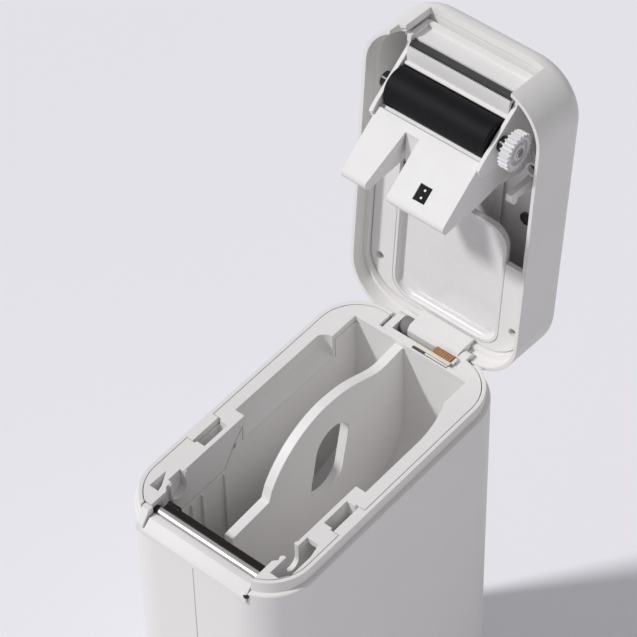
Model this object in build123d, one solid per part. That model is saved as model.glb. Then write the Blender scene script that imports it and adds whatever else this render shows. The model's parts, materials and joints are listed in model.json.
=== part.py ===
from build123d import *
from math import acos, atan2, cos, degrees, pi, radians, sin, sqrt, tan
import os

# Label printer with its hinged lid open: rounded upright body, twin roll lanes, print head and platen.
# Millimetres. The origin is the middle of the footprint on the table, +Z is up, -Y is the side the labels
# leave from, +X is the printer's right side. Lid pieces are drawn shut and then turned open.

# Body
body_width = 76.0
body_depth = 130.8
corner_radius = 20.0
rim_height = 190.0
shell_wall = 3.2
lip_inset = 1.7
shoulder_drop = 5.2
shoulder_round = 0.8
seam_gap = 0.3
seam_step = 1.7
seam_tongue = 1.8
fit_gap = 0.3
mat_thickness = 1.5
mat_inset = 7.0
base_thickness = 3.0

# Lid
lid_height = 26.0
lid_rim_gap = 0.4
lid_wall = 3.0
lid_rim_wall = 1.4
lid_rim_step = 5.4
lid_top_thickness = 2.5
lid_edge_round = 6.0
open_angle = 94.9
hinge_from_rear = 0.4
hinge_below_rim = 4.5
knuckle_radius = 3.2
hinge_pin_radius = 1.0
bay_left = -12.1
knuckle_left = -7.8
knuckle_right = 14.8
ear_width = 3.2

# Top frame
plate_thickness = 2.8
skirt_thickness = 1.4
skirt_depth = 18.8
latch_pocket_front = 37.8
latch_pocket_length = 12.4
latch_pocket_margin = 6.1
latch_pocket_depth = 12.0
left_pocket_depth = 7.0
recess_front = 57.3
recess_length = 48.6
recess_margin = 8.2
recess_taper = 19.0
recess_taper_left = 3.0
recess_outer_drop = 6.0
recess_inner_drop = 11.0

# Roll compartment
bay_margin = 12.5
bin_wall = 1.5
bin_rear_gap = 11.75
bin_depth = 68.4
bin_floor_radius = 30.4
bin_front_drop = 18.0
rib_width = 1.2
rib_height = 1.0
divider_left = -6.9
divider_thickness = 3.8
divider_hump = 4.7
divider_toe = 0.034
divider_kink = 0.237
divider_knee = 0.255
divider_crest = 0.554
divider_saddle = 0.868
cutout_width = 18.0
cutout_middle = 0.574
cutout_height = 32.8
cutout_lean = 12.0

# Print head and exit ledge
head_margin = 3.3
head_thickness = 2.4
head_top_drop = 3.5
head_cover_height = 1.2
head_height = 22.0
head_gap = 0.5
bracket_thickness = 1.6
heatsink_margin = 2.0
heatsink_depth = 2.8
heatsink_round = 1.7
heatsink_sheet = 0.7
heatsink_top_drop = 2.8
heatsink_height = 24.0
spring_thickness = 0.4
ledge_margin = 1.7
ledge_drop = 6.9
ledge_thickness = 3.0
ledge_gap = 0.5
ear_block_width = 3.0

# Platen and gears
platen_from_front = 21.4
platen_below_rim = 6.9
platen_radius = 7.4
platen_margin = 3.8
shaft_radius = 1.8
bush_radius = 2.9
bush_length = 2.8
running_gap = 0.05
gear_module = 0.55
gear_backlash = 0.12
platen_teeth = 24
idler_teeth = 36
second_idler_teeth = 32
pinion_teeth = 16
gear_width = 4.0
pressure_angle = 20.0
motor_from_front = 15.8
motor_radius = 6.2
motor_length = 18.0
axle_radius = 1.5

# Platen carrier, label guide and sensor in the lid
side_plate_thickness = 1.5
side_plate_gap = 0.6
housing_gap = 0.45
housing_wall = 1.4
blade_overhang = 0.2
blade_from_platen = 13.4
blade_pitch = 0.9
panel_wall = 1.8
panel_plate = 1.2
panel_rim_width = 2.0
panel_rim_height = 1.7
guide_overhang = 0.5
guide_wall = 2.0
guide_length = 26.6
guide_tip_round = 2.2
guide_slope = 47.7
sensor_x = 9.0
sensor_along = 18.6
sensor_width = 4.8
sensor_length = 6.0
sensor_depth = 3.0
cover_drop = 3.0
cover_thickness = 2.0
cover_front = 83.2
cover_strip = 31.0
pane_margin = 1.3
pane_length = 57.1
pane_corner = 8.6
pane_rear_gap = 4.8
pane_rise = 2.6
pane_wall = 1.2
screw_margin = 7.6
screw_from_rear = 17.7
ribbon_thickness = 0.3
ribbon_width = 7.4

# Electronics
board_margin = 10.0
board_height = 96.0
board_thickness = 1.6
board_from_rear = 9.4
button_radius = 3.5
button_travel = 0.8
button_proud = 0.6
switch_height = 0.4
button_height = 40.0
button_x = 14.0
inlet_width = 9.0
inlet_height = 3.4
inlet_z = 24.0
inlet_x = -14.0

# Places worked out from the sizes above
front = -body_depth / 2
rear = body_depth / 2
half_width = body_width / 2
half_bay = half_width - bay_margin
latch_pocket_inner = half_bay + 1.8
latch_pocket_outer = half_width - latch_pocket_margin
recess_reach = half_width - recess_margin
head_half = half_bay - head_margin
heatsink_half = half_bay - heatsink_margin
ledge_half = half_bay - ledge_margin
platen_half = half_bay - platen_margin
blade_half = platen_half + blade_overhang
guide_half_width = platen_half + guide_overhang
pane_half = half_bay - pane_margin
screw_x = half_width - screw_margin
shoulder = rim_height - shoulder_drop
plate_bottom = rim_height - plate_thickness
lid_rim = shoulder + lid_rim_gap
lid_top = lid_rim + lid_height
lid_ceiling = lid_top - lid_top_thickness
hinge_y = rear - hinge_from_rear
hinge_z = rim_height - hinge_below_rim
platen_y = front + platen_from_front
platen_z = rim_height - platen_below_rim
head_rear = platen_y - platen_radius - head_gap
head_front = head_rear - head_thickness
heatsink_rear = head_front - bracket_thickness
heatsink_front = heatsink_rear - heatsink_depth
ledge_rear = heatsink_front - ledge_gap
ledge_top = rim_height - ledge_drop
bin_front = platen_y - 1.0
bin_rear = rear - bin_rear_gap
blade_rear = platen_y - blade_from_platen
bin_floor = rim_height - bin_depth
bin_front_top = rim_height - bin_front_drop
arm_inner = ledge_half + fit_gap
side_plate_inner = platen_half + side_plate_gap
side_plate_outer = side_plate_inner + side_plate_thickness
bush_end = side_plate_outer + bush_length
gear_left = half_bay + bin_wall + 0.4
gear_right = gear_left + gear_width
cover_bottom = rim_height + cover_drop
cover_top = cover_bottom + cover_thickness
board_half = half_width - board_margin
board_front = rear - board_from_rear
base_top = mat_thickness + base_thickness
shell_inner_front = front + shell_wall
shell_inner_rear = rear - shell_wall


def block(x0, x1, y0, y1, z0, z1):
    """A box between two corners."""
    return Pos((x0 + x1) / 2, (y0 + y1) / 2, (z0 + z1) / 2) * Box(x1 - x0, y1 - y0, z1 - z0)


def prism(inset, z0, z1):
    """The printer's rounded plan, drawn in by inset, between two heights."""
    plan = RectangleRounded(body_width - 2 * inset, body_depth - 2 * inset, corner_radius - inset)
    return extrude(Pos(0, 0, z0) * plan, z1 - z0)


def side_slab(face, x0, x1):
    """A side view (Y across, Z up) given thickness from x0 to x1."""
    return extrude(Pos(x0, 0, 0) * (Plane.YZ * face), x1 - x0, dir=(1, 0, 0))


def side_shape(points, x0, x1):
    """A slab from the corners of its side view."""
    return side_slab(make_face(Polyline(*points, close=True)), x0, x1)


def rod(radius, x0, x1, y, z):
    """A round bar along X."""
    return side_slab(Pos(y, z) * Circle(radius), x0, x1)


def plan_shape(points, z0, z1):
    """A plate from the corners of its top view."""
    return extrude(Pos(0, 0, z0) * make_face(Polyline(*points, close=True)), z1 - z0, dir=(0, 0, 1))


def opened(piece):
    """A lid piece turned from shut to its open stop."""
    return piece.rotate(Axis((0, hinge_y, hinge_z), (1, 0, 0)), -open_angle)


def mirrored(piece):
    """The same piece on the printer's other side."""
    return piece.mirror(Plane.YZ)


# Gears


def involute(angle):
    """The involute of an angle in radians."""
    return tan(angle) - angle


def tooth_half_angle(teeth, radius):
    """Half the angle that a tooth fills at a radius, in degrees."""
    pitch = gear_module * teeth / 2
    base = pitch * cos(radians(pressure_angle))
    at_pitch = pi / (2 * teeth) - gear_backlash / (2 * pitch)
    ratio = min(1.0, base / radius)
    return degrees(at_pitch + involute(radians(pressure_angle)) - involute(acos(ratio)))


def gear_wheel(teeth, phase, bore, x0, x1, y, z):
    """A spur gear along X whose first tooth points at phase degrees from +Y towards +Z."""
    pitch = gear_module * teeth / 2
    radii = [pitch - 1.25 * gear_module, pitch, pitch + gear_module]
    points = []
    for tooth in range(teeth):
        middle = phase + tooth * 360 / teeth
        flank = [(radius, tooth_half_angle(teeth, radius)) for radius in radii]
        for radius, half in flank:
            angle = radians(middle - half)
            points.append((y + radius * cos(angle), z + radius * sin(angle)))
        for radius, half in reversed(flank):
            angle = radians(middle + half)
            points.append((y + radius * cos(angle), z + radius * sin(angle)))
    wheel = side_shape(points, x0, x1)
    return wheel - rod(bore, x0 - 1, x1 + 1, y, z)


def meshing_phase(phase, teeth, direction, other_teeth):
    """The phase that puts the next gear's gap on this gear's tooth, direction degrees away."""
    offset = phase - direction
    gap = direction + 180 - offset * teeth / other_teeth
    return gap + 180 / other_teeth


idler_y = platen_y
idler_z = platen_z - gear_module * (platen_teeth + idler_teeth) / 2
second_idler_z = idler_z - gear_module * (idler_teeth + second_idler_teeth) / 2
motor_y = front + motor_from_front
pinion_reach = gear_module * (second_idler_teeth + pinion_teeth) / 2
motor_z = second_idler_z - sqrt(pinion_reach**2 - (idler_y - motor_y) ** 2)
idler_phase = meshing_phase(0, platen_teeth, 270, idler_teeth)
second_idler_phase = meshing_phase(idler_phase, idler_teeth, 270, second_idler_teeth)
pinion_direction = degrees(atan2(motor_z - second_idler_z, motor_y - idler_y))
pinion_phase = meshing_phase(second_idler_phase, second_idler_teeth, pinion_direction, pinion_teeth)


# Body


def body_shell():
    """Both halves of the outer shell as one ring: wall, rounded shoulder and the lip above it."""
    wall = prism(0, mat_thickness, shoulder)
    wall = fillet(wall.faces().sort_by(Axis.Z)[-1].edges(), shoulder_round)
    ring = wall + prism(lip_inset, shoulder - 1, rim_height)
    ring -= prism(shell_wall, mat_thickness - 1, rim_height + 1)
    exit_notch = block(-arm_inner, arm_inner, front - 1, shell_inner_front + 1, ledge_top - ledge_thickness,
                       rim_height + 1)
    ear_notch = ear_block_space()
    hinge_notch = block(bay_left - ear_width - 0.5, knuckle_right + ear_width + 5.0,
                        shell_inner_rear - 1, rear + 1, hinge_z - knuckle_radius - 0.6, rim_height + 1)
    tab = block(latch_pocket_outer + fit_gap, half_width - shell_wall + 0.5,
                front + latch_pocket_front - 1.0 + fit_gap,
                front + latch_pocket_front + latch_pocket_length + 1.0 - fit_gap, plate_bottom, rim_height)
    button_hole = Pos(button_x, rear, button_height) * Rot(90, 0, 0) * Cylinder(button_radius + 0.2, 12)
    inlet_hole = block(inlet_x - inlet_width / 2 - 0.2, inlet_x + inlet_width / 2 + 0.2,
                       shell_inner_rear - 1, rear + 1, inlet_z - inlet_height / 2 - 0.2,
                       inlet_z + inlet_height / 2 + 0.2)
    return ring + tab + mirrored(tab) - exit_notch - ear_notch - hinge_notch - button_hole - inlet_hole


def ear_block_space():
    """The space that the raised block at the left of the exit ledge stands in."""
    return block(-arm_inner - ear_block_width, 0, front - 1, ledge_rear + fit_gap,
                 ledge_top - ledge_thickness, rim_height + 1)


def left_of_seam(gap):
    """The space left of the stepped middle seam, drawn back by gap from the inner step and the outer face."""
    reach = half_width + 5
    space = block(-reach, -gap, front - 5, rear + 5, 0, rim_height + 5)
    inner = prism(seam_step, 0, rim_height + 5)
    return space + (inner & block(-reach, seam_tongue - gap, front, rear, 0, rim_height + 5))


def shell_halves():
    """The left and right halves of the shell, which lap at the stepped middle seam."""
    shell = body_shell()
    return shell & left_of_seam(seam_gap), shell - left_of_seam(0)


def base_plate():
    """The plate that closes the body's underside."""
    plate = prism(shell_wall + fit_gap, mat_thickness, base_top)
    slot = block(-board_half - fit_gap, board_half + fit_gap, board_front - fit_gap,
                 board_front + board_thickness + fit_gap, base_top - 1.2, base_top + 1)
    return plate - slot


def base_mat():
    """The rubber mat under the base plate that keeps the printer from sliding."""
    mat = prism(mat_inset, 0, mat_thickness)
    return chamfer(mat.faces().sort_by(Axis.Z)[0].edges(), 0.4)


def skirt_corners(grow):
    """Side view of the frame's skirt beside the roll lanes, made larger by grow."""
    low = rim_height - skirt_depth - grow
    return [
        (head_front, rim_height - 1),
        (head_front, low),
        (front + 45.2 + grow, low),
        (front + 47.5 + grow, low + 3.2),
        (front + 49.9 + grow, low + 7.6),
        (front + 54.6 + grow, low + 13.2),
        (front + 58.5 + grow, rim_height - 1),
    ]


def recess_tray(grow):
    """Cross-section (X, Z) of the floor below a finger recess, made larger by grow."""
    floor = 1.4 + grow
    return [
        (half_bay - grow, plate_bottom + 0.5),
        (half_bay - grow, rim_height - recess_inner_drop - floor),
        (recess_reach + floor, rim_height - recess_outer_drop - floor),
        (recess_reach + floor, plate_bottom + 0.5),
    ]


def cross_shape(points, y0, y1):
    """A bar along Y from the corners of its cross-section (X, Z)."""
    face = make_face(Polyline(*[(x, y0, z) for x, z in points], close=True))
    return extrude(face, y1 - y0, dir=(0, 1, 0))


def recess_cut(taper):
    """The space of the right finger recess, whose outer wall swings inward over its rearmost taper."""
    points = [
        (half_bay - 1, rim_height + 1),
        (half_bay - 1, rim_height - recess_inner_drop - 1.1),
        (recess_reach, rim_height - recess_outer_drop),
        (recess_reach, rim_height + 1),
    ]
    y0 = front + recess_front
    y1 = y0 + recess_length
    swing = ThreePointArc((recess_reach, y1 - taper), (recess_reach - 1.3, y1 - 0.45 * taper), (half_bay + 0.4, y1))
    outline = Polyline((half_bay + 0.4, y1), (half_bay - 1, y1), (half_bay - 1, y0), (recess_reach, y0),
                       (recess_reach, y1 - taper))
    plan = Pos(0, 0, bin_floor) * make_face(swing + outline)
    return cross_shape(points, y0, y1) & extrude(plan, rim_height + 1 - bin_floor, dir=(0, 0, 1))


def opening_plan():
    """Top view of the frame's opening: the roll lanes, then the narrower bay of the print head."""
    right = [
        (half_bay, bin_rear),
        (half_bay, head_rear + 2.0),
        (arm_inner, head_rear + 0.5),
        (arm_inner, front - 1),
    ]
    return right + [(-x, y) for x, y in reversed(right)]


def bush_seat():
    """The U-shaped seat that a platen bush drops into, on the left side."""
    radius = bush_radius + 0.25
    seat = rod(radius, -bush_end - 0.4, -half_bay + 1, platen_y, platen_z)
    seat += block(-bush_end - 0.4, -half_bay + 1, platen_y - radius, platen_y + radius, platen_z, rim_height + 1)
    return seat


def hinge_ear(x0):
    """An arm of the frame that carries the hinge pin."""
    low = hinge_z - knuckle_radius
    high = hinge_z + knuckle_radius
    arm = block(x0, x0 + ear_width, bin_rear + 1.6, hinge_y, low, high)
    return arm + rod(knuckle_radius, x0, x0 + ear_width, hinge_y, hinge_z)


def latch_pocket():
    """The walls and the space of the right latch pocket."""
    y0 = front + latch_pocket_front
    y1 = y0 + latch_pocket_length
    cup = block(latch_pocket_inner - 0.4, latch_pocket_outer + 1.2, y0 - 1.2, y1 + 1.2,
                rim_height - latch_pocket_depth, plate_bottom - fit_gap)
    neck = block(latch_pocket_inner - 0.4, latch_pocket_outer - 1.2, y0 - 1.2, y1 + 1.2,
                 plate_bottom - 1, plate_bottom + 0.5)
    space = block(latch_pocket_inner, latch_pocket_outer, y0, y1, 0, rim_height + 1)
    tab_space = block(latch_pocket_outer - 1, half_width, y0 - 1.0, y1 + 1.0, plate_bottom - fit_gap,
                      rim_height + 1)
    return cup + neck, space + tab_space


def top_frame():
    """The moulded frame round the roll lanes, with skirts, recesses, latch pockets and hinge ears."""
    frame = prism(shell_wall + fit_gap, plate_bottom, rim_height)
    skirt = side_shape(skirt_corners(0), half_bay, half_bay + skirt_thickness)
    arm = block(arm_inner, half_bay + skirt_thickness, shell_inner_front + fit_gap, head_front + 1,
                rim_height - skirt_depth, plate_bottom + 1)
    tray = cross_shape(recess_tray(0), front + recess_front - 1.4, front + recess_front + recess_length + 1.4)
    cup, latch_space = latch_pocket()
    boss = block(half_bay, half_bay + 6.2, platen_y - 10.4, platen_y + bush_radius + 1.6,
                 platen_z - bush_radius - 1.6, plate_bottom + 1)
    for piece in (skirt, arm, tray, cup):
        frame += piece + mirrored(piece)
    frame += mirrored(boss)
    frame &= prism(shell_wall + fit_gap, 0, rim_height + 1)
    frame -= ear_block_space()
    frame -= plan_shape(opening_plan(), 0, rim_height + 1)
    frame -= recess_cut(recess_taper) + mirrored(recess_cut(recess_taper_left))
    frame -= latch_space + mirrored(latch_space)
    seat = bush_seat()
    frame -= seat + mirrored(seat)
    frame -= plan_shape(gear_pocket_plan(), rim_height - skirt_depth - 1, rim_height + 1)
    frame -= plan_shape(left_pocket_plan(), rim_height - left_pocket_depth, rim_height + 1)
    return hinge_bay(frame)


def gear_pocket_plan():
    """Top view of the pocket that the platen gear drops into."""
    reach = gear_module * (platen_teeth / 2 + 1) + 0.8
    inner = half_bay + skirt_thickness
    return [
        (inner, platen_y + reach),
        (gear_right + 0.6, platen_y + reach),
        (gear_right + 1.8, platen_y + 2),
        (gear_right + 1.8, platen_y - reach),
        (gear_right - 0.8, platen_y - reach - 3.8),
        (inner, platen_y - reach - 3.8),
    ]


def left_pocket_plan():
    """Top view of the three-cornered pocket beside the left bush seat."""
    return [
        (-half_bay - 4.7, platen_y - 0.6),
        (-half_bay - 4.9, platen_y - 9.0),
        (-half_bay - 0.9, platen_y - 9.0),
        (-half_bay - 1.6, platen_y - 6.4),
    ]


def hinge_bay(frame):
    """The frame with its hinge bay, the seat of the ribbon clamp and the two ears."""
    ear_left = bay_left - ear_width
    ear_right = knuckle_right + 0.3
    bay_front = clamp_rear() + 0.2
    frame -= block(bay_left, knuckle_right + 0.3, bay_front, rear, 0, rim_height + 1)
    frame -= block(clamp_left() - 0.2, clamp_right() + 0.2, clamp_front() - 0.7, bay_front + 0.1,
                   plate_bottom + 0.8, rim_height + 1)
    for x0 in (ear_left, ear_right):
        frame -= block(x0 - 0.6, x0 + ear_width + 0.6, clamp_front(), rear, plate_bottom - 1, rim_height + 1)
        frame += hinge_ear(x0)
        frame += block(x0, x0 + ear_width, bin_rear + 1.6, clamp_front() + 0.5, plate_bottom - 1.0, plate_bottom + 1)
    return frame - rod(hinge_pin_radius + 0.02, -half_width, half_width, hinge_y, hinge_z)


def clamp_left():
    """Left end of the ribbon clamp."""
    return 1.4


def clamp_right():
    """Right end of the ribbon clamp."""
    return clamp_left() + 1.8 * ribbon_width


def clamp_front():
    """Front face of the ribbon clamp."""
    return bin_rear + 1.95


def clamp_rear():
    """Rear face of the ribbon clamp."""
    return clamp_front() + 1.7


def ribbon_clamp():
    """The cream strip that holds the ribbon cable at the rear of the frame."""
    return block(clamp_left(), clamp_right(), clamp_front(), clamp_rear(), plate_bottom + 0.8, rim_height + 0.3)


def hinge_pin():
    """The steel pin of the lid hinge."""
    return rod(hinge_pin_radius, bay_left - ear_width, knuckle_right + ear_width + 0.3, hinge_y, hinge_z)


def bin_face(inset, top):
    """Side view of the roll bin: walls with a rounded floor, drawn in by inset."""
    radius = bin_floor_radius - inset
    y0 = bin_front + inset
    y1 = bin_rear - inset
    floor = bin_floor + inset
    low = floor + radius
    walls = Polyline((y0, low), (y0, top), (y1, top), (y1, low))
    rear_arc = CenterArc((y1 - radius, low), radius, 0, -90)
    flat = Line((y1 - radius, floor), (y0 + radius, floor))
    front_arc = CenterArc((y0 + radius, low), radius, 270, -90)
    return make_face(walls + rear_arc + flat + front_arc)


def roll_bin():
    """The tub that holds the two label rolls, ribbed low on its side walls."""
    top = plate_bottom - fit_gap
    tub = side_slab(bin_face(-bin_wall, top), -half_bay - bin_wall, half_bay + bin_wall)
    tub -= side_slab(bin_face(0, rim_height), -half_bay, half_bay)
    tub -= block(-half_bay - 2, half_bay + 2, front, bin_front + 0.01, bin_front_top, rim_height)
    skirt = side_shape(skirt_corners(fit_gap), half_bay - 1, half_bay + bin_wall + 1)
    y0 = front + recess_front - 1.4 - fit_gap
    tray = cross_shape(recess_tray(fit_gap), y0, y0 + recess_length + 2.8 + 2 * fit_gap)
    cup = block(half_bay, latch_pocket_outer, front + latch_pocket_front - 1.6,
                front + latch_pocket_front + latch_pocket_length + 1.6,
                rim_height - latch_pocket_depth - fit_gap, rim_height)
    for piece in (skirt, tray, cup):
        tub -= piece + mirrored(piece)
    for offset in (6.2, 12.0, 24.0):
        y = bin_front + offset
        foot_z = bin_floor + bin_floor_radius - sqrt(bin_floor_radius**2 - (bin_floor_radius - offset) ** 2)
        rib = block(half_bay - rib_height, half_bay + 0.2, y, y + rib_width, foot_z + 3,
                    rim_height - skirt_depth - 2)
        tub += rib + mirrored(rib)
    return tub


def lane_point(share, above_rim):
    """A point (Y, Z) at a share of the lanes' length, above the rim."""
    return (bin_front + share * (bin_rear - bin_front), rim_height + above_rim)


def divider_face():
    """Side view of the wall between the two lanes, with its high rounded hump."""
    toe = lane_point(divider_toe, -19.7)
    kink = lane_point(divider_kink, -18.4)
    knee = lane_point(divider_knee, -13.5)
    crest = lane_point(divider_crest, divider_hump)
    saddle = lane_point(divider_saddle, -2.7)
    tail = lane_point(1, -1.8)
    rise = ThreePointArc(knee, lane_point(0.6 * divider_knee + 0.373 * divider_crest, -2.1), crest)
    fall = Spline(crest, lane_point(0.54 * divider_saddle + 0.46 * divider_crest, 2.2), saddle, tail,
                  tangents=[(1, 0), (1, 0.02)])
    edge = Polyline(tail, (bin_rear, bin_floor - 1), (toe[0], bin_floor - 1), toe, kink, knee)
    return make_face(rise + fall + edge)


def roll_divider():
    """The fixed wall between the lanes, with its leaning oblong cut-out."""
    face = divider_face() & bin_face(0, rim_height + 10)
    slot = SlotOverall(cutout_height, cutout_width)
    hole = Pos(*lane_point(cutout_middle, -25.9)) * Rot(0, 0, 90 - cutout_lean) * slot
    return side_slab(face - hole, divider_left, divider_left + divider_thickness)


# Exit and print head


def exit_ledge():
    """The smooth shelf that labels slide out over, with the sloping ear at its left end."""
    under = ledge_top - ledge_thickness
    shelf = block(-ledge_half, ledge_half, front, ledge_rear, under, ledge_top)
    lips = shelf.edges().filter_by(Axis.X).sort_by(Axis.Y)[:2]
    shelf = fillet(lips.sort_by(Axis.Z)[-1:], 0.8)
    top = rim_height - 0.6
    ear = side_shape([(front + 0.5, under), (front + 0.5, ledge_top + 1.4), (ledge_rear - 2.2, top), (ledge_rear, top),
                      (ledge_rear, under)], -ledge_half - ear_block_width, -ledge_half + 0.4)
    ear = fillet(ear.faces().filter_by(Axis.X).sort_by(Axis.X)[0].edges().sort_by(Axis.Z)[-3:-1], 0.7)
    return shelf + ear


def print_head():
    """The thermal head: an upright strip whose rear face meets the platen when the lid is shut."""
    top = rim_height - head_top_drop
    strip = block(-head_half, head_half, head_front, head_rear, top - head_height, top - head_cover_height)
    cover = block(-head_half, head_half, heatsink_rear + 0.1, head_rear - 0.6, top - head_cover_height, top)
    cover = chamfer(cover.edges().filter_by(Axis.X).sort_by(Axis.Z)[-2:], 0.3)
    tab = block(-head_half, -head_half + 5.4, head_rear - 1.2, head_rear, top - head_cover_height - 0.2, top + 0.4)
    return strip + cover + tab


def head_bracket():
    """The steel plate between the head and its heat sink."""
    half = head_half - 1.0
    top = rim_height - head_top_drop - 3.0
    plate = block(-half, half, heatsink_rear, head_front, top - head_height + 3, top)
    for x in (-half + 4, half - 4):
        plate -= Pos(x, (heatsink_rear + head_front) / 2, top - 15) * Rot(90, 0, 0) * Cylinder(1.2, 4)
    return plate


def head_heatsink():
    """The bright folded strip in front of the head, its upper front edge well rounded and open below."""
    top = rim_height - heatsink_top_drop
    outer = block(-heatsink_half, heatsink_half, heatsink_front, heatsink_rear, top - heatsink_height, top)
    upper = outer.edges().filter_by(Axis.X).sort_by(Axis.Z)[-2:]
    outer = fillet(upper.sort_by(Axis.Y)[:1], heatsink_round)
    outer = fillet(outer.edges().filter_by(Axis.X).sort_by(Axis.Z)[-1:], 0.5)
    inner = block(-heatsink_half - 1, heatsink_half + 1, heatsink_front + heatsink_sheet,
                  heatsink_rear - heatsink_sheet, top - heatsink_height - 1, top - heatsink_round)
    return outer - inner


def head_spring():
    """The bowed leaf spring that presses the head towards the platen."""
    wall = shell_inner_front + 0.1
    half = 15.0
    crown = heatsink_front - spring_thickness - 0.1
    outer = ThreePointArc((-half, wall), (0, crown), (half, wall))
    inner = ThreePointArc((-half, wall + spring_thickness), (0, crown + spring_thickness),
                          (half, wall + spring_thickness))
    ends = Line(outer @ 0, inner @ 0) + Line(outer @ 1, inner @ 1)
    face = make_face(outer + inner + ends)
    return extrude(Pos(0, 0, rim_height - 20) * face, 6.0, dir=(0, 0, 1))


# Drive


def gear_plate():
    """The steel plate that the motor is fixed to."""
    x1 = half_bay + skirt_thickness
    plate = block(x1 - 1.3, x1, front, platen_y + 8, motor_z - motor_radius - 2, rim_height - skirt_depth - 0.2)
    plate &= prism(shell_wall + fit_gap, 0, rim_height)
    plate -= side_slab(bin_face(-bin_wall - fit_gap, plate_bottom), x1 - 3, x1 + 1)
    return plate - rod(2.0, x1 - 3, x1 + 1, motor_y, motor_z)


def drive_motor():
    """The small motor below the print head, with a bore for its shaft."""
    x1 = half_bay + skirt_thickness - 1.3
    can = rod(motor_radius, x1 - motor_length, x1, motor_y, motor_z)
    can = chamfer(can.faces().sort_by(Axis.X)[0].edges(), 0.8)
    return can - rod(1.0 + running_gap, x1 - 8, x1 + 1, motor_y, motor_z)


def motor_pinion():
    """The motor's pinion on its shaft."""
    x1 = half_bay + skirt_thickness - 1.3
    pinion = gear_wheel(pinion_teeth, pinion_phase, 0.8, gear_left, gear_right, motor_y, motor_z)
    return pinion + rod(1.0, x1 - 7.5, gear_right, motor_y, motor_z)


def idler_gear():
    """The first idler, which meets the platen gear when the lid is shut."""
    return gear_wheel(idler_teeth, idler_phase, axle_radius + running_gap, gear_left, gear_right,
                      idler_y, idler_z)


def second_idler():
    """The gear between the pinion and the first idler."""
    return gear_wheel(second_idler_teeth, second_idler_phase, axle_radius + running_gap, gear_left, gear_right,
                      idler_y, second_idler_z)


def idler_axle(z):
    """A headed pin on the bin's wall that an idler turns on."""
    wall = half_bay + bin_wall
    axle = rod(axle_radius, wall, gear_right + 0.3, idler_y, z)
    return axle + rod(axle_radius + 1.1, gear_right + 0.3, gear_right + 1.1, idler_y, z)


# Electronics


def main_board():
    """The upright circuit board behind the roll bin."""
    board = block(-board_half, board_half, board_front, board_front + board_thickness, base_top - 1.2,
                  base_top + board_height)
    switch = block(button_x - 3, button_x + 3, board_front + board_thickness - 0.1,
                   board_front + board_thickness + switch_height, button_height - 3, button_height + 3)
    return board + switch


def power_inlet():
    """The flat power socket at the rear."""
    x0, x1 = inlet_x - inlet_width / 2, inlet_x + inlet_width / 2
    z0, z1 = inlet_z - inlet_height / 2, inlet_z + inlet_height / 2
    body = block(x0, x1, board_front + board_thickness, rear - 0.2, z0, z1)
    body = fillet(body.edges().filter_by(Axis.Y), inlet_height / 2 - 0.1)
    hollow = block(x0 + 0.5, x1 - 0.5, rear - 6, rear + 1, z0 + 0.5, z1 - 0.5)
    hollow = fillet(hollow.edges().filter_by(Axis.Y), inlet_height / 2 - 0.6)
    tongue = block(inlet_x - 3.2, inlet_x + 3.2, rear - 6.2, rear - 1.2, inlet_z - 0.35, inlet_z + 0.35)
    return body - hollow + tongue


def power_button():
    """The round power button, kept in by a flange inside the wall, its travel short of the switch."""
    back = shell_inner_rear - fit_gap
    inner = board_front + board_thickness + switch_height + button_travel + 0.1
    outer = rear + button_proud
    cap = Pos(button_x, (outer + inner) / 2, button_height) * Rot(90, 0, 0) * Cylinder(button_radius, outer - inner)
    cap = fillet(cap.faces().sort_by(Axis.Y)[-1].edges(), 0.5)
    return cap + Pos(button_x, back - 0.6, button_height) * Rot(90, 0, 0) * Cylinder(button_radius + 0.9, 1.2)


def ribbon(points, radius, x0, x1):
    """A flat ribbon of even thickness whose middle follows a rounded route in side view."""
    route = FilletPolyline(*points, radius=radius)
    return side_slab(trace(route, ribbon_thickness), x0, x1)


def flex_cable():
    """The ribbon from the board up to the hinge, curling over behind the clamp."""
    x0 = clamp_right() - ribbon_width - 0.4
    y0 = board_front + board_thickness + ribbon_thickness / 2 + 0.02
    crest = rim_height + 0.1
    back = hinge_y - knuckle_radius - 1.6
    points = [(y0, base_top + board_height - 8), (y0, crest - 8), (clamp_rear() + 0.4, crest - 4.0),
              (clamp_rear() + 0.4, crest), (back, crest), (back, hinge_z)]
    return ribbon(points, 1.0, x0, x0 + ribbon_width)


# Lid, drawn shut


def lid_shell():
    """The lid's outer shell with its rounded edge, exit notch, hinge notch and screw posts."""
    lid = prism(0, lid_rim, lid_top)
    lid = fillet(lid.faces().sort_by(Axis.Z)[-1].edges(), lid_edge_round)
    hollow = fillet(prism(lid_wall, lid_rim + lid_rim_step, lid_ceiling).faces().sort_by(Axis.Z)[-1].edges(),
                    lid_edge_round - lid_wall)
    lid -= hollow
    lid -= prism(lid_rim_wall, lid_rim - 1, lid_rim + lid_rim_step + 0.01)
    lid -= block(-arm_inner, arm_inner, front - 1, front + lid_wall + 1, lid_rim - 1, panel_top())
    lid -= block(-arm_inner - ear_block_width - 0.2, 0, front - 1, ledge_rear + 1, lid_rim - 1, rim_height)
    lid -= block(bay_left - ear_width - 0.5, knuckle_right + ear_width + 0.8, rear - lid_wall - 1, rear + 1,
                 lid_rim - 1, hinge_z + knuckle_radius + 0.5)
    lid -= block(knuckle_left - 0.2, knuckle_right + 0.2, rear - lid_wall - 1, rear + 1, lid_rim - 1,
                 cover_top + 0.3)
    post = Pos(screw_x, rear - screw_from_rear, (cover_top + lid_ceiling) / 2)
    post = post * Cylinder(3.4, lid_ceiling - cover_top)
    lid += post + mirrored(post)
    hole = screw_hole()
    return lid - hole - mirrored(hole)


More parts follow.
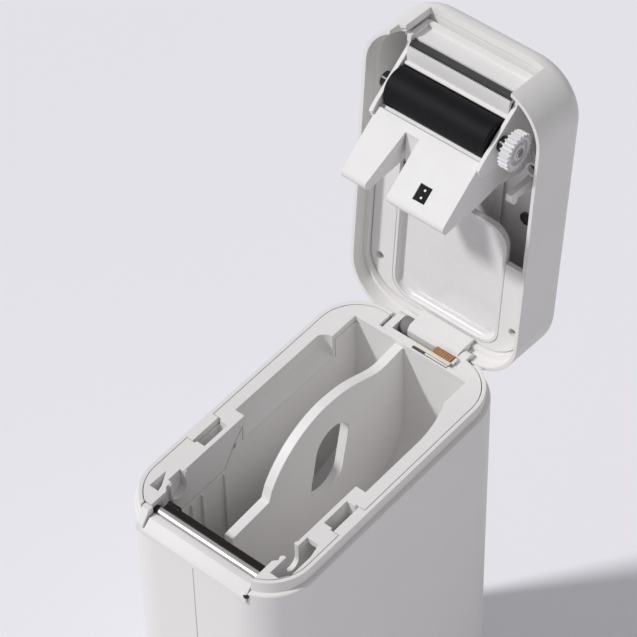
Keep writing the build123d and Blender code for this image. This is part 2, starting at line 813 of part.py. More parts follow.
def screw_hole():
    """The stepped hole of the right cover screw."""
    wide = Pos(screw_x, rear - screw_from_rear, cover_bottom + 2) * Cylinder(1.75, 8)
    narrow = Pos(screw_x, rear - screw_from_rear, cover_bottom + 8) * Cylinder(1.0, 8)
    return wide + narrow


def cover_screw():
    """The right cover screw, sunk in its hole."""
    head = Pos(screw_x, rear - screw_from_rear, cover_bottom + 5.3) * Cylinder(1.6, 1.4)
    drive = Pos(screw_x, rear - screw_from_rear, cover_bottom + 4.6) * (Box(2.0, 0.5, 0.9) + Box(0.5, 2.0, 0.9))
    shank = Pos(screw_x, rear - screw_from_rear, cover_bottom + 8.4) * Cylinder(0.95, 4.8)
    return head + shank - drive


def panel_top():
    """Height of the exit recess's roof in the shut lid."""
    return lid_rim + 18.3


def pane_prism(inset, z0, z1):
    """The pane's rounded plan, drawn in by inset, between two heights."""
    plan = RectangleRounded(2 * pane_half - 2 * inset, pane_length - 2 * inset, pane_corner - inset)
    return extrude(Pos(0, rear - pane_rear_gap - pane_length / 2, z0) * plan, z1 - z0)


def lid_pane():
    """The glossy dished pane that clears the tops of the rolls."""
    outer = pane_prism(0, cover_bottom, cover_bottom + pane_rise + pane_wall)
    outer = fillet(outer.faces().sort_by(Axis.Z)[-1].edges(), 2.4)
    hollow = pane_prism(pane_wall, cover_bottom - 5, cover_bottom + pane_rise)
    hollow = fillet(hollow.faces().sort_by(Axis.Z)[-1].edges(), 1.8)
    y0 = rear - pane_rear_gap - pane_length
    gate = block(divider_left - 1.2, divider_left + divider_thickness + 1.2, y0 - 1, y0 + pane_wall + 1,
                 cover_bottom - 1, rim_height + divider_hump + 0.8)
    return outer - hollow - gate


def knuckle_crest():
    """Side view (Y, Z) of the knuckle's flat top and front as they stand in the open lid."""
    y0 = hinge_y - knuckle_radius
    return [(y0, hinge_z - 1.0), (y0, hinge_z + 2.0), (y0 + 1.5, hinge_z + 3.8), (hinge_y, hinge_z + 4.0),
            (hinge_y + 7.0, hinge_z + 4.0), (hinge_y + 7.0, hinge_z - 1.0)]


def lid_cover():
    """The inner cover at the rear of the lid, with its longer left strip and the hinge knuckle."""
    plate = prism(lid_wall + fit_gap, cover_bottom, cover_top)
    plate -= block(-half_width, half_width, front - 1, front + cover_front - cover_strip, 0, lid_top)
    plate -= block(-pane_half - 0.3, half_width, front - 1, front + cover_front, 0, lid_top)
    plate -= pane_prism(-0.2, 0, lid_top)
    knuckle = rod(knuckle_radius, knuckle_left, knuckle_right, hinge_y, hinge_z)
    knuckle += block(knuckle_left, knuckle_right, hinge_y - knuckle_radius, hinge_y, hinge_z, cover_top)
    crest = side_shape(knuckle_crest(), knuckle_left, knuckle_right)
    knuckle += crest.rotate(Axis((0, hinge_y, hinge_z), (1, 0, 0)), open_angle)
    hole = screw_hole()
    return plate + knuckle - rod(hinge_pin_radius + running_gap, -half_width, half_width, hinge_y, hinge_z) - (
        hole + mirrored(hole))


def side_plate():
    """The right cheek of the platen carrier, whose straight lower edge runs past the roller to a point."""
    top = lid_ceiling
    corners = [
        (blade_rear, rim_height + 1.0),
        (platen_y - 10.9, platen_z + 6.9),
        (platen_y + 2.7, platen_z - 9.4),
        (platen_y + 5.4, platen_z - 11.8),
        (platen_y + 10.0, platen_z - 9.3),
        (platen_y + 10.0, top - 4),
        (platen_y + 6.0, top),
        (platen_y - 6.0, top),
        (blade_rear, top - 8),
    ]
    cheek = side_shape(corners, side_plate_inner, side_plate_outer)
    return cheek - rod(bush_radius - 0.8, side_plate_inner - 1, side_plate_outer + 1, platen_y, platen_z)


def housing():
    """The curved wall behind the roller, with the flat lip in front of it."""
    inner = platen_radius + housing_gap
    tube = side_slab(Circle(inner + housing_wall) - Circle(inner), -side_plate_inner, side_plate_inner)
    tube = Pos(0, platen_y, platen_z) * tube
    mouth = side_shape([(-6.6, 5.6), (-14, 7), (-14, -14), (14, -14), (5.6, -7.0)],
                       -side_plate_inner - 1, side_plate_inner + 1)
    tube -= Pos(0, platen_y, platen_z) * mouth
    y0 = blade_rear
    lip = block(-blade_half, blade_half, y0, platen_y - 5.9, rim_height - 1.6, rim_height - 0.4)
    lip += block(-blade_half, blade_half, y0, y0 + 1.4, rim_height - 1.0, rim_height + 2.6)
    lip += block(-blade_half, blade_half, platen_y - 6.9, platen_y - 5.5, rim_height - 1.6,
                 rim_height + 2.0)
    lip += rod(1.0, -blade_half, blade_half, platen_y - 6.6, rim_height - 1.8)
    lip -= Pos(0, platen_y, platen_z) * side_slab(Circle(inner), -side_plate_inner - 1, side_plate_inner + 1)
    return tube + lip


def platen_carrier():
    """The white carrier in the lid: two cheeks joined by the curved housing."""
    cheek = side_plate()
    tie = block(-side_plate_inner - 0.5, side_plate_inner + 0.5, platen_y - 3, platen_y + 3,
                platen_z + platen_radius + housing_gap + 0.4, lid_ceiling - 1)
    return housing() + cheek + mirrored(cheek) + tie


def tear_blade():
    """The dark tear strip with its row of teeth above the exit."""
    y1 = blade_rear
    half = blade_half
    count = int(2 * half / blade_pitch)
    step = 2 * half / count
    points = [(half, rim_height + 2.6), (-half, rim_height + 2.6), (-half, rim_height - 0.4)]
    for tooth in range(count):
        x = -half + (tooth + 0.5) * step
        points.append((x, rim_height - 1.2))
        points.append((x + step / 2, rim_height - 0.4))
    return cross_shape(points, y1 - 0.8, y1)


def exit_panel():
    """The flat panel above the tear strip with its raised rim, closed off by a roof and cheeks."""
    half = arm_inner + 0.6
    y0 = blade_rear - 1.4
    y1 = y0 + panel_plate
    roof_front = front + lid_wall + 0.25
    roof_top = panel_top() + panel_wall
    low = rim_height + 2.9
    plate = block(-half - 0.5, half + 0.5, y0, y1, low, roof_top)
    roof = block(-half - 0.5, half + 0.5, roof_front, y1, panel_top(), roof_top)
    cheek = side_shape([(y0, low), (roof_front, low + 1.5), (roof_front, roof_top), (y1, roof_top), (y1, low)],
                       half, half + panel_wall)
    outer = half - 0.8
    rim = block(-outer, outer, y0 - panel_rim_height, y1, rim_height + 0.6, panel_top() - 1.4)
    rim = fillet(rim.edges().filter_by(Axis.Y).sort_by(Axis.Z)[-2:], 1.0)
    inner = outer - panel_rim_width + 0.3
    rim -= block(-inner, inner, y0 - 3, y1 + 1, 0, low)
    rim -= block(-inner, inner, y0 - 3, y0, 0, panel_top() - 1.4 - panel_rim_width)
    return (plate + roof + cheek + mirrored(cheek) + rim) & prism(lid_wall + 0.1, 0, lid_ceiling - 1)


def bush():
    """The right bearing bush of the platen, split on one side."""
    sleeve = rod(bush_radius, side_plate_outer, bush_end, platen_y, platen_z)
    sleeve += rod(bush_radius - 0.85, side_plate_inner, side_plate_outer + 0.5, platen_y, platen_z)
    return sleeve - rod(shaft_radius + running_gap, side_plate_inner - 1, bush_end + 1, platen_y, platen_z)


def platen_rubber():
    """The rubber sleeve of the platen."""
    sleeve = rod(platen_radius, -platen_half, platen_half, platen_y, platen_z)
    sleeve = chamfer(sleeve.edges().filter_by(GeomType.CIRCLE), 0.4)
    return sleeve - rod(shaft_radius, -platen_half - 1, platen_half + 1, platen_y, platen_z)


def platen_shaft():
    """The steel shaft of the platen."""
    shaft = rod(shaft_radius, -bush_end - 0.1, gear_right + 0.5, platen_y, platen_z)
    return chamfer(shaft.edges().filter_by(GeomType.CIRCLE), 0.3)


def platen_gear():
    """The white gear on the platen's right end, with its raised hub."""
    wheel = gear_wheel(platen_teeth, 0, shaft_radius, gear_left, gear_right, platen_y, platen_z)
    ring = Circle(platen_radius - 2.6) - Circle(shaft_radius + 1.2)
    groove = side_slab(Pos(platen_y, platen_z) * ring, gear_right - 1.2, gear_right + 1)
    return wheel - groove


def guide_corner(along):
    """A point on the label guide's face, along millimetres down from its upper edge (Y, Z)."""
    y0, z0 = platen_y + 4.5, rim_height - 15.5
    return (y0 + along * cos(radians(guide_slope)), z0 - along * sin(radians(guide_slope)))


def label_guide():
    """The sloping guide below the platen, hollow behind, notched to straddle the lane divider."""
    tip = guide_corner(guide_length)
    heel = (tip[0] + 3.1, tip[1] + 2.5)
    outer = [guide_corner(0), tip, heel, (heel[0] - 1.8, heel[1] + 20), (heel[0] - 4.8, cover_bottom),
             (platen_y + 9.5, cover_bottom)]
    profile = make_face(Polyline(*outer, close=True))
    blunt = [v for v in profile.vertices() if abs(v.X - tip[0]) < 0.01 and abs(v.Y - tip[1]) < 0.01]
    wedge = side_slab(fillet(blunt, guide_tip_round), -guide_half_width, guide_half_width)
    inside = guide_wall / sin(radians(guide_slope))
    hollow = [(guide_corner(0)[0] + inside, guide_corner(0)[1]), (tip[0] + inside - 2.4, tip[1] + 2.6),
              (heel[0] + 5, tip[1] + 2.6), (heel[0] + 5, lid_top), (guide_corner(0)[0] + inside, lid_top)]
    left = divider_left - 1.3
    right = divider_left + divider_thickness + 0.8
    wedge -= side_shape(hollow, -guide_half_width + guide_wall, left - 3.2 - guide_wall)
    wedge -= side_shape(hollow, right + guide_wall, guide_half_width - guide_wall)
    wedge -= guide_notch(left, right)
    window = guide_plane() * Box(sensor_width + 0.2, sensor_length + 0.2, 12)
    around = platen_radius + housing_gap + housing_wall + 0.02
    return wedge - window - rod(around, -half_width, half_width, platen_y, platen_z)


def guide_notch(left, right):
    """The space in the guide that the divider enters when the lid shuts, flared to the left below."""
    top = rim_height - 17.6
    straight = side_shape([(platen_y + 6.8, 100), (platen_y + 6.8, top), (platen_y + 20, top + 0.6),
                           (platen_y + 24, top + 8), (platen_y + 30, top + 16), (platen_y + 34, 100)], left, right)
    flare = plan_shape([(left + 0.1, platen_y + 6.8), (left + 0.1, platen_y + 34), (left - 3.2, platen_y + 34),
                        (left - 3.2, platen_y + 21.5)], 100, rim_height - 12)
    return straight + flare


def guide_plane():
    """A plane on the guide's face at the middle of the sensor window."""
    y, z = guide_corner(sensor_along)
    normal = (0, -sin(radians(guide_slope)), -cos(radians(guide_slope)))
    return Plane(origin=(sensor_x, y, z), x_dir=(1, 0, 0), z_dir=normal)


def gap_sensor():
    """The black sensor that looks for the gap between labels."""
    body = guide_plane() * Pos(0, 0, -0.4 - sensor_depth / 2) * Box(sensor_width, sensor_length, sensor_depth)
    for along in (-1.4, 1.4):
        body -= guide_plane() * Pos(0, along, -0.4) * Cylinder(0.7, 0.8)
    return body


def sensor_ribbon():
    """The narrow ribbon from the hinge over the pane to the gap sensor."""
    y, z = guide_corner(sensor_along)
    above = lid_ceiling - 1.0
    start = (hinge_y - knuckle_radius - 2.0, cover_bottom + pane_rise + pane_wall + 0.4)
    points = [start, (start[0] - 6, above), (platen_y + 22, above), (y + 3.2, z + 22), (y + 2.7, z + 2.7)]
    return ribbon(points, 2.0, sensor_x - 1.4, sensor_x + 1.4)


def latch_tongue():
    """The right latch tongue, whose hook drops into the frame's pocket."""
    y0 = front + latch_pocket_front + 3.0
    corners = [
        (y0 - 3, lid_ceiling),
        (y0, cover_bottom),
        (y0, rim_height - 7.6),
        (y0 + 3.0, rim_height - 7.6),
        (y0 + 5.4, rim_height - 5.4),
        (y0 + 5.4, rim_height - 3.8),
        (y0 + 3.4, rim_height - 3.4),
        (y0 + 4.2, cover_bottom + 2),
        (y0 + 9.0, lid_ceiling),
    ]
    return side_shape(corners, latch_pocket_inner + 1.0, latch_pocket_inner + 3.2)


def export(name, piece):
    """Write one piece as a STEP file, as its single solid where it has just one."""
    solids = piece.solids()
    shape = solids[0] if len(solids) == 1 else Compound(children=list(solids))
    export_step(shape, f"parts/{name}.step")


def main():
    """Build every piece and write it."""
    os.makedirs("parts", exist_ok=True)
    left_half, right_half = shell_halves()
    fixed = {
        "body_shell_left": left_half,
        "body_shell_right": right_half,
        "base_plate": base_plate(),
        "base_mat": base_mat(),
        "top_frame": top_frame(),
        "roll_bin": roll_bin(),
        "roll_divider": roll_divider(),
        "exit_ledge": exit_ledge(),
        "print_head": print_head(),
        "head_bracket": head_bracket(),
        "head_heatsink": head_heatsink(),
        "head_spring": head_spring(),
        "ribbon_clamp": ribbon_clamp(),
        "flex_cable": flex_cable(),
        "hinge_pin": hinge_pin(),
        "gear_plate": gear_plate(),
        "drive_motor": drive_motor(),
        "motor_pinion": motor_pinion(),
        "idler_gear": idler_gear(),
        "idler_axle": idler_axle(idler_z),
        "second_idler": second_idler(),
        "second_idler_axle": idler_axle(second_idler_z),
        "main_board": main_board(),
        "power_inlet": power_inlet(),
        "power_button": power_button(),
    }
    in_lid = {
        "lid_shell": lid_shell(),
        "lid_cover": lid_cover(),
        "lid_pane": lid_pane(),
        "exit_panel": exit_panel(),
        "tear_blade": tear_blade(),
        "platen_carrier": platen_carrier(),
        "label_guide": label_guide(),
        "gap_sensor": gap_sensor(),
        "sensor_ribbon": sensor_ribbon(),
        "latch_tongue_left": mirrored(latch_tongue()),
        "latch_tongue_right": latch_tongue(),
        "bush_left": mirrored(bush()),
        "bush_right": bush(),
        "cover_screw_left": mirrored(cover_screw()),
        "cover_screw_right": cover_screw(),
        "platen_rubber": platen_rubber(),
        "platen_shaft": platen_shaft(),
        "platen_gear": platen_gear(),
    }
    for name, piece in fixed.items():
        export(name, piece)
    for name, piece in in_lid.items():
        export(name, opened(piece))


main()
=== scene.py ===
"""Label printer with its lid open: finishes, small mouldings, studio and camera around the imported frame."""
import json
import logging
from dataclasses import dataclass, field
from enum import Enum
from math import cos, radians, sin
from typing import Callable

import bpy
from mathutils import Matrix, Vector


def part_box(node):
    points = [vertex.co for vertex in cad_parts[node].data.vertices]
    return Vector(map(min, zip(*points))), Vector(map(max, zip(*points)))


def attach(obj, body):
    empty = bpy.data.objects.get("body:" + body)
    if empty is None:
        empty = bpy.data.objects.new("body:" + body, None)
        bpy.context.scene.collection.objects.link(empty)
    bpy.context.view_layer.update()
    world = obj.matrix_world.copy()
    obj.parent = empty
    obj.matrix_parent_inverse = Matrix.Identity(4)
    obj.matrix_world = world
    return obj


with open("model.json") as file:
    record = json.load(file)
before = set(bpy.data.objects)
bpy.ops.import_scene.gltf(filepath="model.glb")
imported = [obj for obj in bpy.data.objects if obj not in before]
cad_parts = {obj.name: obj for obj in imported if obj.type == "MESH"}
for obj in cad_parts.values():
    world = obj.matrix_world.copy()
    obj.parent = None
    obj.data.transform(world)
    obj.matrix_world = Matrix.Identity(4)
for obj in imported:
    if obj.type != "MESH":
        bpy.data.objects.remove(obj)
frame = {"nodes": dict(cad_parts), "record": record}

log = logging.getLogger("label_printer")
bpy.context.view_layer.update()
MM = 0.001
Rgb = tuple[float, float, float]
Point = tuple[float, float, float]
NOISE_RANGE = (0.3, 0.7)
FACING = 0.9
ALONG = 0.99
SMOOTH_BELOW_DEG = 32.0


# Node graphs


class NodeGraph:
    """A material's node tree while it is put together, with one Principled shader."""

    def __init__(self, name: str) -> None:
        """Start the tree.

        Args:
            name: the material's name.
        """
        self.material = bpy.data.materials.new(name)
        self.material.use_nodes = True
        self.tree = self.material.node_tree
        self.tree.nodes.clear()
        self.output = self.add("ShaderNodeOutputMaterial")
        self.shader = self.add("ShaderNodeBsdfPrincipled")
        self.tree.links.new(self.shader.outputs["BSDF"], self.output.inputs["Surface"])
        self.place = self.add("ShaderNodeTexCoord").outputs["Object"]

    def add(self, kind: str, **settings: object) -> bpy.types.Node:
        """Add a node.

        Args:
            kind: the node's Blender type.
            settings: attributes to set on it.

        Returns:
            The new node.
        """
        node = self.tree.nodes.new(kind)
        for key, value in settings.items():
            setattr(node, key, value)
        return node

    def feed(self, node: bpy.types.Node, socket: str | int, value: object) -> None:
        """Link an output socket to an input, or set the input's own value.

        Args:
            node: the node whose input is fed.
            socket: the input's name or number.
            value: an output socket, a number or a colour.
        """
        target = node.inputs[socket]
        if isinstance(value, bpy.types.NodeSocket):
            self.tree.links.new(value, target)
        elif isinstance(value, tuple) and target.type == "RGBA":
            target.default_value = (*value, 1.0)
        else:
            target.default_value = value

    def stretched(self, scale: Point) -> bpy.types.NodeSocket:
        """Object coordinates scaled per axis.

        Args:
            scale: the factor on X, Y and Z.

        Returns:
            The scaled coordinates.
        """
        mapping = self.add("ShaderNodeMapping")
        self.feed(mapping, "Vector", self.place)
        self.feed(mapping, "Scale", scale)
        return mapping.outputs["Vector"]

    def noise(self, scale: float, detail: float = 2.0, where: object = None) -> bpy.types.NodeSocket:
        """Noise with cells of about one over scale metres.

        Args:
            scale: the noise's scale.
            detail: octaves of finer noise.
            where: coordinates other than the object's own.

        Returns:
            The noise value, 0 to 1.
        """
        node = self.add("ShaderNodeTexNoise")
        self.feed(node, "Vector", where or self.place)
        self.feed(node, "Scale", scale)
        self.feed(node, "Detail", detail)
        return node.outputs["Fac"]

    def span(self, value: bpy.types.NodeSocket, low: float, high: float) -> bpy.types.NodeSocket:
        """A noise value spread between two numbers.

        Args:
            value: the noise.
            low: the result where the noise is darkest.
            high: the result where it is brightest.

        Returns:
            The spread value.
        """
        node = self.add("ShaderNodeMapRange")
        self.feed(node, "Value", value)
        self.feed(node, "From Min", NOISE_RANGE[0])
        self.feed(node, "From Max", NOISE_RANGE[1])
        self.feed(node, "To Min", low)
        self.feed(node, "To Max", high)
        return node.outputs["Result"]

    def blend(self, factor: object, first: object, second: object) -> bpy.types.NodeSocket:
        """A mix of two colours.

        Args:
            factor: how much of the second colour shows.
            first: a colour.
            second: a colour.

        Returns:
            The mixed colour.
        """
        node = self.add("ShaderNodeMix", data_type="RGBA")
        self.feed(node, 0, factor)
        self.feed(node, 6, first)
        self.feed(node, 7, second)
        return node.outputs[2]

    def soft_edges(self, radius_mm: float) -> bpy.types.NodeSocket:
        """Normals rounded over the mesh's sharp edges, as a mould's radii look.

        Args:
            radius_mm: the rounding's radius.

        Returns:
            The rounded normal.
        """
        node = self.add("ShaderNodeBevel", samples=6)
        self.feed(node, "Radius", radius_mm * MM)
        return node.outputs["Normal"]

    def bump(self, height: object, depth_mm: float, strength: float, normal: object = None) -> bpy.types.NodeSocket:
        """A bumped normal.

        Args:
            height: the height pattern.
            depth_mm: the pattern's full height.
            strength: how much of it shows.
            normal: the normal that it starts from.

        Returns:
            The bumped normal.
        """
        node = self.add("ShaderNodeBump")
        self.feed(node, "Height", height)
        self.feed(node, "Distance", depth_mm * MM)
        self.feed(node, "Strength", strength)
        if normal is not None:
            self.feed(node, "Normal", normal)
        return node.outputs["Normal"]

    def set(self, **sockets: object) -> None:
        """Feed the Principled shader's inputs, named with underscores for spaces."""
        for key, value in sockets.items():
            self.feed(self.shader, key.replace("_", " "), value)


# Finishes


@dataclass(frozen=True)
class MouldedPlastic:
    """Injection-moulded plastic with a fine spark-eroded grain and softly rounded edges."""

    name: str
    color: Rgb
    roughness: float = 0.42
    grain_mm: float = 0.35
    grain_depth_mm: float = 0.012
    edge_mm: float = 0.35
    mottle: float = 0.975
    mottle_scale: float = 38.0
    sheen_scale: float = 220.0
    grain_strength: float = 0.35
    specular: float = 0.3
    coat: float = 0.0
    coat_roughness: float = 0.08

    def build(self) -> bpy.types.Material:
        """The finish as a material."""
        graph = NodeGraph(self.name)
        shade = tuple(c * self.mottle for c in self.color)
        graph.set(
            Base_Color=graph.blend(graph.span(graph.noise(self.mottle_scale, 3.0), 0.0, 1.0), self.color, shade),
            Roughness=graph.span(graph.noise(self.sheen_scale, 4.0), self.roughness - 0.04, self.roughness + 0.05),
            Normal=graph.bump(graph.noise(1.0 / MM / self.grain_mm, 1.0), self.grain_depth_mm,
                              self.grain_strength, graph.soft_edges(self.edge_mm)),
            IOR=1.5,
            Specular_IOR_Level=self.specular,
            Coat_Weight=self.coat,
            Coat_Roughness=self.coat_roughness,
        )
        return graph.material


@dataclass(frozen=True)
class GroundRubber:
    """Black rubber with fine grinding marks round its axis and a little chalky bloom."""

    name: str
    color: Rgb = (0.004, 0.0037, 0.006)
    bloom: Rgb = (0.009, 0.0085, 0.011)
    specular: float = 0.2
    ring_stretch: Point = (5200.0, 90.0, 90.0)
    ring_depth_mm: float = 0.02
    bloom_scale: float = 160.0
    edge_mm: float = 0.3

    def build(self) -> bpy.types.Material:
        """The finish as a material."""
        graph = NodeGraph(self.name)
        rings = graph.noise(1.0, 2.0, graph.stretched(self.ring_stretch))
        graph.set(
            Base_Color=graph.blend(graph.span(graph.noise(self.bloom_scale, 5.0), 0.0, 0.6), self.color,
                                   self.bloom),
            Roughness=graph.span(rings, 0.56, 0.72),
            Specular_IOR_Level=self.specular,
            Normal=graph.bump(rings, self.ring_depth_mm, 0.35, graph.soft_edges(self.edge_mm)),
        )
        return graph.material


@dataclass(frozen=True)
class DrawnSteel:
    """Metal with drawing lines along X and slightly uneven polish."""

    name: str
    color: Rgb
    roughness: float = 0.3
    line_depth_mm: float = 0.006
    line_stretch: Point = (60.0, 4200.0, 4200.0)
    line_shade: float = 0.82
    polish_scale: float = 90.0
    edge_mm: float = 0.2

    def build(self) -> bpy.types.Material:
        """The finish as a material."""
        graph = NodeGraph(self.name)
        lines = graph.noise(1.0, 3.0, graph.stretched(self.line_stretch))
        shade = tuple(c * self.line_shade for c in self.color)
        graph.set(
            Base_Color=graph.blend(graph.span(lines, 0.0, 1.0), self.color, shade),
            Metallic=1.0,
            Roughness=graph.span(graph.noise(self.polish_scale, 4.0), self.roughness - 0.06, self.roughness + 0.06),
            Normal=graph.bump(lines, self.line_depth_mm, 0.3, graph.soft_edges(self.edge_mm)),
        )
        return graph.material


@dataclass(frozen=True)
class FilmRibbon:
    """Amber film ribbon whose copper conductors show as lines along it."""

    name: str
    film: Rgb = (0.2, 0.075, 0.02)
    copper: Rgb = (0.5, 0.22, 0.07)
    pitch_mm: float = 0.9
    waves_per_unit: float = 314.16
    ridge_mm: float = 0.03
    coat: float = 0.4

    def build(self) -> bpy.types.Material:
        """The finish as a material."""
        graph = NodeGraph(self.name)
        wave = graph.add("ShaderNodeTexWave", wave_type="BANDS", bands_direction="X", wave_profile="SIN")
        graph.feed(wave, "Vector", graph.place)
        graph.feed(wave, "Scale", self.waves_per_unit / self.pitch_mm)
        lines = wave.outputs["Fac"]
        graph.set(
            Base_Color=graph.blend(graph.span(lines, 0.0, 1.0), self.film, self.copper),
            Roughness=graph.span(graph.noise(300.0, 3.0), 0.22, 0.34),
            Normal=graph.bump(lines, self.ridge_mm, 0.6),
            Coat_Weight=self.coat,
            Coat_Roughness=0.12,
        )
        return graph.material


@dataclass(frozen=True)
class SolderMask:
    """Green circuit board lacquer over faint tracks."""

    name: str
    color: Rgb = (0.02, 0.14, 0.07)
    track_stretch: Point = (420.0, 420.0, 160.0)
    track_gain: float = 1.7
    track_mm: float = 0.03

    def build(self) -> bpy.types.Material:
        """The finish as a material."""
        graph = NodeGraph(self.name)
        tracks = graph.noise(1.0, 0.0, graph.stretched(self.track_stretch))
        bright = tuple(min(1.0, c * self.track_gain) for c in self.color)
        graph.set(
            Base_Color=graph.blend(graph.span(tracks, 0.0, 1.0), self.color, bright),
            Roughness=graph.span(graph.noise(500.0, 2.0), 0.25, 0.35),
            Normal=graph.bump(tracks, self.track_mm, 0.5),
        )
        return graph.material


@dataclass(frozen=True)
class StudioFloor:
    """Pale seamless paper."""

    name: str
    color: Rgb = (0.80, 0.79, 0.83)
    seen: Rgb = (0.93, 0.92, 0.97)
    shade: float = 0.97
    seen_shade: float = 0.985

    def build(self) -> bpy.types.Material:
        """The finish as a material, paler where the camera or a mirror-like piece sees it."""
        graph = NodeGraph(self.name)
        rays = graph.add("ShaderNodeLightPath")
        direct = graph.add("ShaderNodeMath", operation="MAXIMUM")
        graph.feed(direct, 0, rays.outputs["Is Camera Ray"])
        graph.feed(direct, 1, rays.outputs["Is Glossy Ray"])
        seen = graph.add("ShaderNodeMath", operation="MAXIMUM")
        graph.feed(seen, 0, direct.outputs[0])
        graph.feed(seen, 1, rays.outputs["Is Transmission Ray"])
        paper = graph.blend(seen.outputs[0], self.color, self.seen)
        shade = graph.blend(seen.outputs[0], tuple(c * self.shade for c in self.color),
                            tuple(c * self.seen_shade for c in self.seen))
        graph.set(
            Base_Color=graph.blend(graph.span(graph.noise(2.5, 2.0), 0.0, 1.0), paper, shade),
            Roughness=graph.span(graph.noise(900.0, 2.0), 0.85, 0.95),
        )
        return graph.material


class Look(Enum):
    """Every finish on the printer, by the slot that it dresses."""

    SHELL = MouldedPlastic("satin_shell_white", (0.858, 0.843, 0.833), roughness=0.5)
    FRAME = MouldedPlastic("frame_white", (0.852, 0.838, 0.832), roughness=0.56, edge_mm=0.3)
    # painted light: a paler copy of the frame white that brightens the divider's shaded side
    DIVIDER = MouldedPlastic("divider_white_lit", (0.93, 0.915, 0.91), roughness=0.5, edge_mm=0.45)
    PANE = MouldedPlastic("pane_white", (0.835, 0.825, 0.825), roughness=0.24, grain_depth_mm=0.003, edge_mm=0.5,
                          coat=0.35)
    GEAR = MouldedPlastic("gear_acetal", (0.80, 0.79, 0.81), roughness=0.46, grain_depth_mm=0.005, edge_mm=0.12)
    CREAM = MouldedPlastic("clamp_cream", (0.83, 0.78, 0.68), roughness=0.4, edge_mm=0.15)
    ROLLER = GroundRubber("roller_rubber")
    MAT = GroundRubber("mat_rubber", (0.03, 0.03, 0.034), (0.05, 0.05, 0.055))
    SHAFT = DrawnSteel("shaft_steel", (0.55, 0.53, 0.51), 0.26)
    # painted shade: the pin's steel is darkened so that it reads as the shaded hinge socket
    PIN = DrawnSteel("pin_steel", (0.26, 0.25, 0.25), 0.5)
    SHEET = DrawnSteel("sheet_steel", (0.62, 0.62, 0.63), 0.36)
    BRIGHT = DrawnSteel("bright_strip", (0.93, 0.92, 0.91), 0.34, line_depth_mm=0.002)
    BLADE = DrawnSteel("blackened_blade", (0.17, 0.17, 0.18), 0.42)
    HEAD = MouldedPlastic("head_black", (0.016, 0.011, 0.011), roughness=0.34, grain_depth_mm=0.003, edge_mm=0.15)
    SCREW = DrawnSteel("blackened_screw", (0.06, 0.06, 0.065), 0.45)
    BUSH = MouldedPlastic("bush_black", (0.018, 0.018, 0.02), roughness=0.3, edge_mm=0.15)
    SENSOR = MouldedPlastic("sensor_black", (0.006, 0.006, 0.008), roughness=0.6, edge_mm=0.1,
                            specular=0.15)
    # dark grey; on the clamp's slot it is painted shadow
    SLOT = MouldedPlastic("slot_grey", (0.1, 0.098, 0.096), roughness=0.6, edge_mm=0.1, specular=0.15)
    # painted shade: dark grey for the hinge sleeve, standing in for the shade in the hinge pocket
    SLEEVE = MouldedPlastic("sleeve_painted_shade_grey", (0.24, 0.235, 0.235), roughness=0.6, edge_mm=0.1, specular=0.15)
    RIBBON = FilmRibbon("film_ribbon")
    WHITE_FILM = MouldedPlastic("white_film", (0.8, 0.8, 0.79), roughness=0.4, grain_depth_mm=0.002, edge_mm=0.05)
    BOARD = SolderMask("board_green")
    INLET = DrawnSteel("inlet_steel", (0.7, 0.7, 0.71), 0.28)


DRESS: dict[Look, tuple[str, ...]] = {
    Look.SHELL: ("body_shell_left", "body_shell_right", "lid_shell", "power_button"),
    Look.DIVIDER: ("roll_divider",),
    Look.FRAME: ("top_frame", "roll_bin", "exit_ledge", "lid_cover", "exit_panel",
                 "platen_carrier", "label_guide", "latch_tongue_left", "latch_tongue_right", "base_plate"),
    Look.PANE: ("lid_pane",),
    Look.GEAR: ("platen_gear", "idler_gear", "second_idler", "motor_pinion"),
    Look.CREAM: ("ribbon_clamp",),
    Look.ROLLER: ("platen_rubber",),
    Look.MAT: ("base_mat",),
    Look.SHAFT: ("platen_shaft", "idler_axle", "second_idler_axle", "cover_screw_left", "cover_screw_right"),
    Look.PIN: ("hinge_pin",),
    Look.SHEET: ("gear_plate", "head_bracket", "head_spring", "drive_motor"),
    Look.BRIGHT: ("head_heatsink",),
    Look.BLADE: ("tear_blade",),
    Look.HEAD: ("print_head",),
    Look.BUSH: ("bush_left", "bush_right"),
    Look.SENSOR: ("gap_sensor",),
    Look.RIBBON: ("flex_cable",),
    Look.WHITE_FILM: ("sensor_ribbon",),
    Look.BOARD: ("main_board",),
    Look.INLET: ("power_inlet",),
}


@dataclass
class Wardrobe:
    """The finishes as materials, made once and put on the frame's nodes."""

    made: dict[Look, bpy.types.Material] = field(default_factory=dict)

    def material(self, look: Look) -> bpy.types.Material:
        """The material of a look, built on first use.

        Args:
            look: the finish.

        Returns:
            Its material.
        """
        if look not in self.made:
            self.made[look] = look.value.build()
        return self.made[look]

    def dress_nodes(self, nodes: dict[str, bpy.types.Object]) -> None:
        """Give every node of the frame its finish.

        Args:
            nodes: the frame's nodes by name.
        """
        for look, names in DRESS.items():
            for name in names:
                for slot in nodes[name].material_slots:
                    slot.material = self.material(look)
                log.info("node %s wears %s", name, look.name)


# Mouldings modelled by hand


